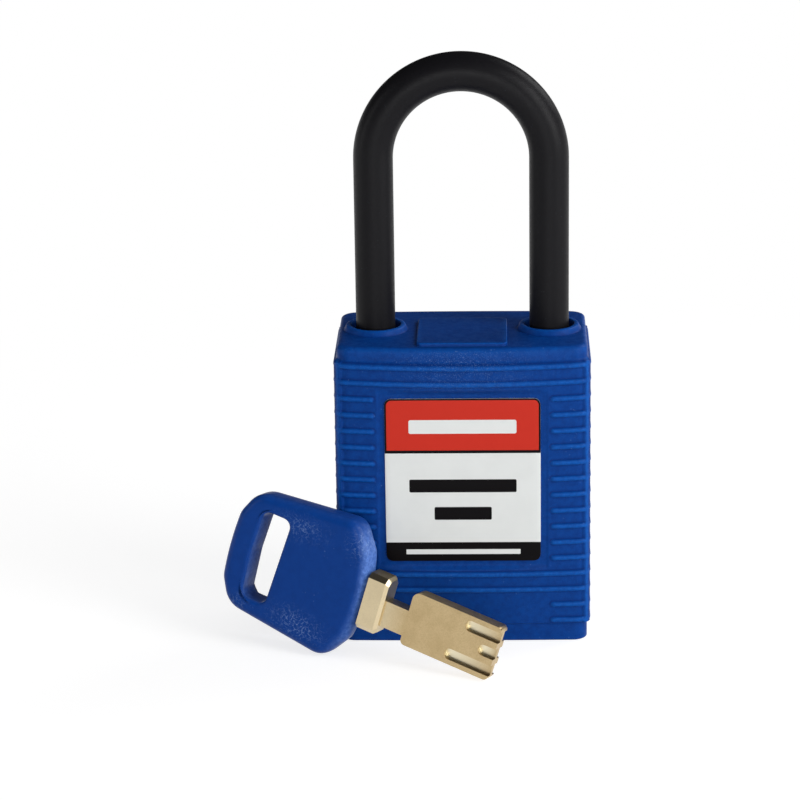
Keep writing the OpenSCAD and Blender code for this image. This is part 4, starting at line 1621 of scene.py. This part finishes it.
@dataclass
class PadlockKey:
    """The key that leans on the body: a moulded head and a milled brass blade.

    In its own frame it lies along x from the head's far end, with z across it.
    """

    head_len: float = 25.0
    far_w: float = 20.3
    near_w: float = 23.5
    thickness: float = 5.0
    far_r: float = 4.0
    near_r: float = 3.2
    far_bulge: float = 1.0
    near_bulge: float = 2.4
    far_share: float = 0.28
    near_share: float = 0.32
    edge: float = 1.4
    near_edge: float = 2.1
    slot_len: float = 15.0
    slot_w: float = 4.8
    slot_x: float = 6.9
    slot_slant: float = 5.7
    slot_r: float = 1.35
    slot_edge: float = 0.55
    collar_len: float = 3.6
    collar_w: float = 9.6
    collar_t: float = 4.4
    collar_gap: float = 0.03
    collar_end: Triple = (0.55, 0.4, 0.45)
    bevel: float = 0.8
    neck_len: float = 4.2
    notch_high: float = 3.4
    notch_low: float = 1.4
    root_len: float = 9.0
    root_w: float = 7.0
    root_t: float = 2.0
    blade_len: float = 15.8
    blade_w: float = 9.1
    blade_t: float = 2.6
    blade_r: float = 0.8
    shoulder_r: float = 1.2
    blade_edge: float = 0.09
    channel_w: float = 1.8
    channel_depth: float = 0.9
    channel_pitch: float = 2.85
    channel_lens: Triple = (6.0, 2.9, 8.1)
    yaw: float = 23.0
    lean: float = 8.0
    overlap: float = 5.0
    gap: float = 0.25
    rest_round: float = 1.1
    scuffs: tuple[Scuff, ...] = (
        Scuff(11.6, 7.4, 3.2, 1.6, 0.7), Scuff(15.5, -8.3, 3.6, 1.8, 1.0),
        Scuff(22.6, 9.0, 1.6, 2.4, 0.8), Scuff(4.2, -8.6, 1.5, 1.0, 0.6),
    )

    @property
    def near_centre(self) -> Pair:
        """The middle of the head's rounded corner next to the blade."""
        return self.head_len - self.near_bulge - self.near_r, self.near_w / 2 - self.near_r

    def placed(self, obj: Piece, body: PadlockBody) -> Piece:
        """Puts a piece made in the key's own frame beside the body.

        The key stands on its head's lower corner and its blade's lower tip corner, is rolled
        about its own y, leaned about x, turned about z and moved up against the body's
        front left corner.

        Args:
            obj: the piece.
            body: the block that the key leans on.

        Returns:
            The same piece.
        """
        near_cx, near_cz = self.near_centre
        tip = self.head_len + self.collar_len + self.neck_len + self.blade_len
        rise_x = tip - self.blade_r - near_cx
        rise_z = near_cz - self.blade_w / 2 + self.blade_r
        taper = math.asin((self.near_r - self.blade_r) / math.hypot(rise_x, rise_z))
        roll = math.atan2(rise_z, rise_x) + taper
        lean, yaw, soft = math.radians(self.lean), math.radians(self.yaw), self.rest_round
        low = near_cx * math.sin(roll) + near_cz * math.cos(roll) + self.near_r
        half = self.thickness / 2
        z = (low - soft) * math.cos(lean) + (half - soft) * math.sin(lean) + soft
        high = near_cz * math.cos(roll) + self.near_r - near_cx * math.sin(roll)
        x = self.overlap - body.width / 2 - self.head_len * math.cos(roll) * math.cos(yaw)
        inner = body.zone_step - body.corner
        reach = math.sin(yaw) * (body.width / 2 + inner) + math.cos(yaw) * (body.depth / 2 + inner)
        reach += body.corner + body.rib_height + self.gap
        back = half + math.sin(lean) * high * math.cos(lean)
        y = -(reach + back / math.cos(lean) + math.sin(yaw) * x) / math.cos(yaw)
        points = turned(turned(turned(read_points(obj), "y", roll), "x", -lean), "z", -yaw)
        return write_points(obj, points + np.array([x, y, z]))

    def head_loop(self, count: int) -> Array:
        """The head's outline (x along the key, z across): round corners and bowed ends.

        Args:
            count: how many points it gets.

        Returns:
            (count, 2) points.
        """
        near_cx, near_cz = self.near_centre
        far_cx, far_cz = self.far_bulge + self.far_r, self.far_w / 2 - self.far_r
        t = np.linspace(-self.near_share, self.near_share, 25)
        near = np.stack([self.head_len - 4 * self.near_bulge * t**2, t * self.near_w], -1)
        t = np.linspace(self.far_share, -self.far_share, 21)
        far = np.stack([4 * self.far_bulge * t**2, t * self.far_w], -1)
        corners = [[near_cx, -near_cz], [near_cx, near_cz], [far_cx, far_cz], [far_cx, -far_cz]]
        radii = [self.near_r, self.near_r, self.far_r, self.far_r]
        radii = np.concatenate([radii, np.zeros(len(near) + len(far))])
        return softened(hull_loop(np.vstack([corners, near, far]), radii, count), count // 90)

    def slot_loop(self, count: int) -> Array:
        """The slot's outline: five circles, with the inner side slanted and the outer bowed.

        Args:
            count: how many points it gets.

        Returns:
            (count, 2) points.
        """
        r = self.slot_r
        x, half, near = self.slot_x, self.slot_len / 2 - r, self.slot_w / 2 - r
        lean = half * math.tan(math.radians(self.slot_slant))
        centres = np.array([
            [x - near, half], [x - near - r / 4, 0.0], [x - near, -half],
            [x + near + lean / 2, half], [x + near - lean / 2, -half],
        ])
        return softened(hull_loop(centres, np.full(5, r), count), count // 90)

    def head(self) -> Piece:
        """The head: a section carried between the slot's outline and the outer one.

        The section runs round the slot's edge, across the front face, round the outer edge,
        back across the rear face and down the slot's wall; an edge of radius R leaves the
        outline by R (1 - cos b) and the face by R (1 - sin b).

        Returns:
            The head in the key's own frame, with its masks.
        """
        count, half, (inward, down) = 300, self.thickness / 2, round_edge(8)
        outer, slot = (
            np.roll(loop, -int(np.argmax(loop[:, 0] - 0.2 * np.abs(loop[:, 1]))), axis=0)
            for loop in (self.head_loop(count), self.slot_loop(count))
        )
        near = above(outer[:, 0], self.head_len - 6.0, width=4.0)
        outer_r = self.edge + (self.near_edge - self.edge) * near
        slot_r = np.full(count, self.slot_edge)
        outer_n, slot_n = -loop_normals(outer), loop_normals(slot)

        def edge_rings(loop: Array, normal: Array, r: Array, step: int, side: float) -> Array:
            """Rings of a round edge, by steps of 1 or -1, on the front (-1) or the rear (1).

            Args:
                loop: the outline.
                normal: where the edge draws in to.
                r: the edge's radius at each point.
                step: 1 to go in, -1 to go out.
                side: -1 for the front, 1 for the rear.

            Returns:
                (steps, n, 3) points.
            """
            plan = loop + (r * inward[::step, None])[..., None] * normal
            y = side * (half - r * down[::step, None])
            return np.stack([plan[..., 0], y, plan[..., 1]], -1)

        def face_rings(start: Array, end: Array) -> Array:
            """Rings between two others, which keep a face flat."""
            w = np.array([0.2, 0.5, 0.8])[:, None, None]
            return start * (1.0 - w) + end * w

        slot_front = edge_rings(slot, slot_n, slot_r, 1, -1.0)
        outer_front = edge_rings(outer, outer_n, outer_r, -1, -1.0)
        outer_rear = edge_rings(outer, outer_n, outer_r, 1, 1.0)
        slot_rear = edge_rings(slot, slot_n, slot_r, -1, 1.0)
        obj = surface("key_head", np.concatenate([
            slot_front, face_rings(slot_front[-1], outer_front[0]), outer_front,
            outer_rear, face_rings(outer_rear[-1], slot_rear[0]), slot_rear,
        ]), closed_rows=True)
        self.mark_wear_and_light(obj)
        return obj

    def mark_wear_and_light(self, head: Piece) -> None:
        """Writes where the head is lit and rubbed: a painted highlight next to the blade and on the slot's
        inner wall, light rubbing on all its edges, and its scuffs.

        A scuff is a bell in both directions: exp(-(dx / wide)^2 - (dz / high)^2).

        Args:
            head: the head in the key's own frame.
        """
        x, y, z = read_points(head).T
        # A painted highlight, strongest at the end next to the blade and higher up, and on the slot's inner
        # wall; a little rubbing on all the edges.
        near = above(x, self.head_len - 4.6, width=3.6)
        on_wall = smooth((self.thickness / 2 - np.abs(y)) / (0.9 - 0.4 * near))
        near = near * (0.5 + 0.5 * above(z, edge=-3.0, width=6.0))
        inside = below(np.abs(x - self.slot_x), edge=3.6, width=0.6)
        inside = inside * below(np.abs(z), edge=8.3, width=0.5)
        write_mask(head, "crest", on_wall * np.maximum(0.12 + 0.88 * near, 0.7 * inside))
        write_mask(head, "scuff", sum(
            s.amount * bell(x, s.x, s.wide) * bell(z, s.z, s.high) for s in self.scuffs
        ))

    def plate_loop(self, start: float, tip: float, half_w: float) -> Array:
        """The plate's outline: four quarter circles, the upper one at the neck the widest.

        Args:
            start: where the plate begins.
            tip: where it ends.
            half_w: half its width.

        Returns:
            (n, 2) points along the key and across it.
        """
        r, wide = self.blade_r, self.shoulder_r
        corners = (
            (tip - r, half_w - r, r, 0.0), (start + wide, half_w - wide, wide, 90.0),
            (start + r, r - half_w, r, 180.0), (tip - r, r - half_w, r, 270.0),
        )
        arcs = []
        for x, z, c, start_angle in corners:
            b = np.radians(np.linspace(0.0, 90.0, 8) + start_angle)
            arcs.append(np.stack([x + c * np.cos(b), z + c * np.sin(b)], -1))
        return np.vstack(arcs)

    def blade_collar(self) -> Piece:
        """The collar: an eight-sided section carried along x, drawn in at the blade's end.

        Returns:
            The closed collar in the key's own frame.
        """
        t, w, v = self.collar_t / 2, self.collar_w / 2, self.bevel
        loop = np.array([
            [-t, -w + v], [-t + v, -w], [t - v, -w], [t, -w + v],
            [t, w - v], [t - v, w], [-t + v, w], [-t, w - v],
        ])
        length, thinner, narrower = self.collar_end
        start = self.head_len + self.collar_gap
        end = start + self.collar_len
        x = np.array([start, start, end - length, end, end])[:, None, None]
        scale = np.array([[0.0, 0.0], [1.0, 1.0], [1.0, 1.0], [1.0, 1.0], [0.0, 0.0]])
        scale[3] -= thinner / t, narrower / w
        rings = np.concatenate([np.repeat(x, len(loop), 1), loop * scale[:, None, :]], -1)
        return surface("collar", rings, crease=20.0)

    def channels(self, tip: float) -> list[Piece]:
        """What the mill cuts out of both faces, the far face like the near one turned over.

        Args:
            tip: where the blade ends.

        Returns:
            The closed shapes to cut with.
        """
        r, half_t, depth, past = self.channel_w / 2, self.blade_t / 2, self.channel_depth, 1.0
        a = np.radians(np.linspace(90.0, 270.0, 17))
        cutters = []
        for k, length in enumerate(self.channel_lens):
            inner = np.stack([tip - length + r + r * np.cos(a), r * np.sin(a)], -1)
            outline = np.vstack([inner, [[tip + past, -r], [tip + past, r]]])
            shift = np.array([0.0, (1 - k) * self.channel_pitch])
            cutters.append(prism("channel", outline + shift, -half_t - past, -half_t + depth))
            cutters.append(prism("channel", outline - shift, half_t - depth, half_t + past))
        return cutters

    def blade(self) -> Piece:
        """The blade: root, collar, notched neck and plate joined, its channels cut by the mill.

        The neck is a little thinner than the plate, so that no two faces lie in one plane.

        Returns:
            The blade in the key's own frame, with its mask of bright cut metal and painted highlight.
        """
        neck = self.head_len + self.collar_len
        plate_x = neck + self.neck_len
        tip = plate_x + self.blade_len
        half_t, half_w, thinner = self.blade_t / 2, self.blade_w / 2, 0.004
        root_half = (self.root_len + self.collar_len) / 2
        root = rounded_loop(root_half, self.root_w / 2, 0.1, 1)
        root = root + [neck - root_half, 0.0]
        notches = (self.notch_low + self.notch_high) / 2
        neck_loop = rounded_loop(self.neck_len / 2 + 1.0, half_w - notches, 0.1, 1)
        neck_loop = neck_loop + [neck + self.neck_len / 2, (self.notch_low - self.notch_high) / 2]
        obj = prism("key_blade_milled", self.plate_loop(plate_x, tip, half_w), -half_t, half_t)
        combine(obj, [
            prism("neck", neck_loop, -half_t + thinner, half_t - thinner), self.blade_collar(),
            prism("root", root, -self.root_t / 2, self.root_t / 2),
        ], "UNION")
        combine(obj, self.channels(tip), "DIFFERENCE", crease=30.0)
        bevel = obj.modifiers.new("edge", "BEVEL")
        bevel.width = self.blade_edge * MM
        bevel.segments = 2
        bevel.limit_method = "ANGLE"
        bevel.angle_limit = math.radians(30.0)
        finished(obj, crease=30.0, flat_area=0.9)
        # Painted highlight, partly bare cut metal: the channels' floors in full and the collar at 0.4.
        x, y, _ = read_points(obj).T
        deep = np.abs(y) < half_t - 0.6 * self.channel_depth
        fresh_cut_and_highlight = deep & (x > tip - max(self.channel_lens) - 0.1) & (x < tip - 0.05)
        write_mask(obj, "fresh_cut_and_highlight", np.maximum(1.0 * fresh_cut_and_highlight, 0.4 * (x < neck + 0.05)))
        return obj

    def build(self, body: PadlockBody) -> None:
        """The head and the blade as two dressed pieces."""
        settle(self.placed(self.head(), body), Finishes.KEY_HEAD, Body.LOCK, "key_bow")
        settle(self.placed(self.blade(), body), Finishes.KEY_BRASS, Body.LOCK, "key_blade")


@dataclass(frozen=True)
class WoundSpring:
    """A coil of round wire in a packed spring's place: riding on one body, or with its head following the
    body that presses on it.
    """

    node: str
    wire: float
    turns: int
    steps: int = 28
    sides: int = 10

    def coil(self) -> Piece:
        """Rings of wire along a helix; each ring is (r + w cos b, w sin b) at the angle a.

        Returns:
            The coil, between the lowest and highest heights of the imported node's box.
        """
        low, high = (np.array(corner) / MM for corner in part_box(self.node))
        centre, w = (low + high) / 2, self.wire / 2
        a = np.linspace(0.0, FULL_TURN * self.turns, self.turns * self.steps + 1)
        ends = np.array([0.0] + [1.0] * len(a) + [0.0])[:, None]
        a = np.concatenate([a[:1], a, a[-1:]])[:, None]
        b = np.linspace(0.0, FULL_TURN, self.sides, endpoint=False)[None, :]
        out = (high[0] - low[0]) / 2 - w + w * ends * np.cos(b)
        up = low[2] + w + (high[2] - low[2] - self.wire) * a / a[-1] + w * ends * np.sin(b)
        points = np.stack([centre[0] + out * np.cos(a), centre[1] + out * np.sin(a), up], -1)
        return surface(self.node + "_wound", points, crease=60.0)

    def pressed(self) -> None:
        """Builds a spring on the plug that a slider presses towards its fixed end.
        """
        obj = settle(self.coil(), Finishes.SPRING, Body.PLUG, self.node)
        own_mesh(obj)

    def stretched(self, foot: Body, head: Body) -> None:
        """Builds a spring whose foot stays with one body while its head follows another.

        Args:
            foot: what the lower end stays with.
            head: what the upper end follows.
        """
        obj = self.coil()
        obj.data.materials.append(Finishes.SPRING.material())
        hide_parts(self.node)
        low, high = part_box(self.node)
        middle = (low[0] + high[0]) / 2, (low[1] + high[1]) / 2
        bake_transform(obj, foot.value, head.value, start=(*middle, low[2]), end=(*middle, high[2]))
        log.info("%s: between %s and %s", obj.name, foot.value, head.value)


@dataclass
class LockWorks:
    """The springs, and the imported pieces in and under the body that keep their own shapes."""

    sliders: int = 6
    slider_travel: float = 7.5
    spring_seat: float = 35.9

    def wind(self) -> None:
        """The six slider springs and the shackle's spring."""
        for i in range(1, self.sliders + 1):
            spring = WoundSpring(f"slider_spring_{i}", wire=0.24, turns=8)
            spring.pressed()
        spring = WoundSpring("shackle_spring", wire=0.8, turns=6, steps=48, sides=16)
        spring.stretched(Body.LOCK, Body.SHACKLE)

    def finish_of(self, node: str) -> Finish:
        """The finish of a node by its name: the sliders and the plug are brass."""
        brass = node.startswith("slider") or node == "plug"
        return Finishes.LOCK_BRASS if brass else Finishes.STEEL

    def dress(self) -> int:
        """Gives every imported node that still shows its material.

        Returns:
            How many nodes that are.
        """
        shown = [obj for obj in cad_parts.values() if not obj.hide_render]
        for obj in shown:
            material = self.finish_of(obj.name).material()
            if not obj.data.materials:
                obj.data.materials.append(material)
            for slot in obj.material_slots:
                slot.material = material
            log.info("%s: dressed with %s", obj.name, material.name)
        return len(shown)


# ---------------------------------------------------------------- studio


@dataclass(frozen=True)
class Softbox:
    """A soft lamp: where it stands as seen from the padlock, its size and its power."""

    name: str
    azimuth: float
    elevation: float
    distance: float
    size: Pair
    watts: float

    def build(self, aim: Triple) -> None:
        """Hangs the lamp, turned towards the point aim; azimuth 0 is towards the camera.

        Args:
            aim: the point that it faces, in metres.
        """
        a, e = math.radians(self.azimuth), math.radians(self.elevation)
        data = bpy.data.lights.new(self.name, "AREA")
        data.shape = "RECTANGLE"
        data.size, data.size_y = self.size
        data.energy = self.watts
        lamp = linked(self.name, data)
        lamp.location = np.array(aim) + self.distance * away(a, e)
        lamp.rotation_euler = (math.pi / 2 - e, 0.0, a)


@dataclass
class Studio:
    """The pale floor, the backdrop, the lamps and the camera; distances of lamps in metres."""

    target: Triple = (-10.264, 0.0, 37.893)
    distance: float = 520.0
    azimuth: float = 1.84
    elevation: float = 17.34
    roll: float = -0.85
    focal_px: float = 3192.9
    frame_px: float = 800.0
    sensor: float = 36.0
    ambient: float = 0.5
    ceiling: float = 0.42
    dark_ceiling: float = 0.04
    floor_half: float = 3.0
    floor_fade: Pair = (0.07, 0.2)
    floor_glow: float = 0.75
    paper: float = 0.8
    seen_paper: float = 0.42
    aim: Triple = (0.0, 0.0, 0.04)
    boxes: tuple[Softbox, ...] = (
        Softbox("right_softbox", 58.0, 24.0, 0.6, (0.34, 0.5), 2.9),
        Softbox("front_fill", 2.0, 6.0, 0.9, (0.5, 0.45), 2.6),
        Softbox("left_strip", -78.0, 12.0, 0.6, (0.14, 0.5), 0.5),
        Softbox("rear_right_softbox", 124.0, 34.0, 0.6, (0.3, 0.3), 1.1),
    )

    def floor(self) -> None:
        """A wide floor that shows white to the camera and keeps the soft shadow.

        Near the object it is a grey paper that glows, so the two add up to white where no
        shadow falls; further out only the glow is left, at a strength of 1.
        """
        s = self.floor_half
        mesh = bpy.data.meshes.new("floor")
        mesh.from_pydata([(-s, -s, 0), (s, -s, 0), (s, s, 0), (-s, s, 0)], [], [(0, 1, 2, 3)])
        obj = linked("floor", mesh)
        material = bpy.data.materials.new("floor_paper")
        b = Bench.cleared(material)
        seen = b.most(self.seen(b), b.add("ShaderNodeLightPath").outputs["Is Camera Ray"])
        off = b.add("ShaderNodeVectorMath", operation="LENGTH")
        b.join(b.add("ShaderNodeTexCoord").outputs["Object"], off.inputs[0])
        far = b.band(off.outputs["Value"], *self.floor_fade)
        lit = b.mix(seen, (self.paper,) * 3, (self.seen_paper,) * 3)
        paper = b.add("ShaderNodeBsdfDiffuse")
        b.join(b.mix(b.times(far, seen), lit, (0.0, 0.0, 0.0)), paper.inputs["Color"])
        glow = b.add("ShaderNodeEmission")
        b.feed(glow.inputs["Color"], (1.0, 1.0, 1.0))
        strength = b.math("MULTIPLY_ADD", far, 1.0 - self.floor_glow, self.floor_glow)
        b.join(b.times(seen, strength), glow.inputs["Strength"])
        both = b.add("ShaderNodeAddShader")
        b.join(paper.outputs[0], both.inputs[0])
        b.join(glow.outputs[0], both.inputs[1])
        b.join(both.outputs[0], b.add("ShaderNodeOutputMaterial").inputs["Surface"])
        mesh.materials.append(material)

    @staticmethod
    def seen(b: Bench) -> Socket:
        """1 for a ray from a mirror or through glass, else 0."""
        path = b.add("ShaderNodeLightPath").outputs
        return b.most(path["Is Glossy Ray"], path["Is Transmission Ray"])

    def backdrop(self) -> None:
        """A world that shows white, and lights the object softly, less from above."""
        world = bpy.data.worlds.new("studio")
        bpy.context.scene.world = world
        b = Bench.cleared(world)
        background = b.add("ShaderNodeBackground")
        b.feed(background.inputs["Color"], (1.0, 1.0, 1.0))
        up = b.parts(b.add("ShaderNodeTexCoord").outputs["Generated"])["Z"]
        height, mirrored_height = b.band(up, low=0.0, high=0.18), b.band(up, low=-0.02, high=0.13)
        gloss = b.math("MULTIPLY_ADD", mirrored_height, self.dark_ceiling - 1.0, 1.0)
        drop = self.ambient * (self.ceiling - 1.0)
        soft = b.math("MULTIPLY_ADD", height, drop, self.ambient)
        value = b.math("MULTIPLY_ADD", self.seen(b), b.math("SUBTRACT", gloss, soft), soft)
        camera = b.add("ShaderNodeLightPath").outputs["Is Camera Ray"]
        b.join(b.most(value, camera), background.inputs["Strength"])
        b.join(background.outputs[0], b.add("ShaderNodeOutputWorld").inputs["Surface"])

    def camera(self) -> None:
        """The camera on the photograph's line of sight, its focal length in pixels."""
        e, a, roll = (math.radians(v) for v in (self.elevation, self.azimuth, self.roll))
        data = bpy.data.cameras.new("view")
        data.sensor_width = self.sensor
        data.lens = self.focal_px / self.frame_px * self.sensor
        data.clip_start, data.clip_end = 0.02, 20.0
        obj = linked("view", data)
        obj.location = (np.array(self.target) + self.distance * away(a, e)) * MM
        turn = Euler((math.pi / 2 - e, 0.0, a)).to_matrix() @ Matrix.Rotation(roll, 3, "Z")
        obj.rotation_euler = turn.to_euler()
        bpy.context.scene.camera = obj

    def build(self) -> None:
        """Sets up everything round the object."""
        self.floor()
        self.backdrop()
        for box in self.boxes:
            box.build(self.aim)
        self.camera()
        bpy.context.scene.view_settings.view_transform = "Standard"


def main() -> None:
    """Builds the padlock, its key and the studio, and reports each piece."""
    logging.basicConfig(level=logging.INFO, format="%(name)s: %(message)s")
    Studio().build()
    body = PadlockBody()
    body.build()
    LabelSheet().build(body)
    Shackle().build()
    PadlockKey().build(body)
    works = LockWorks()
    works.wind()
    log.info("%d packed nodes keep their shape", works.dress())
    bpy.context.view_layer.update()


if __name__ == "__main__":
    main()
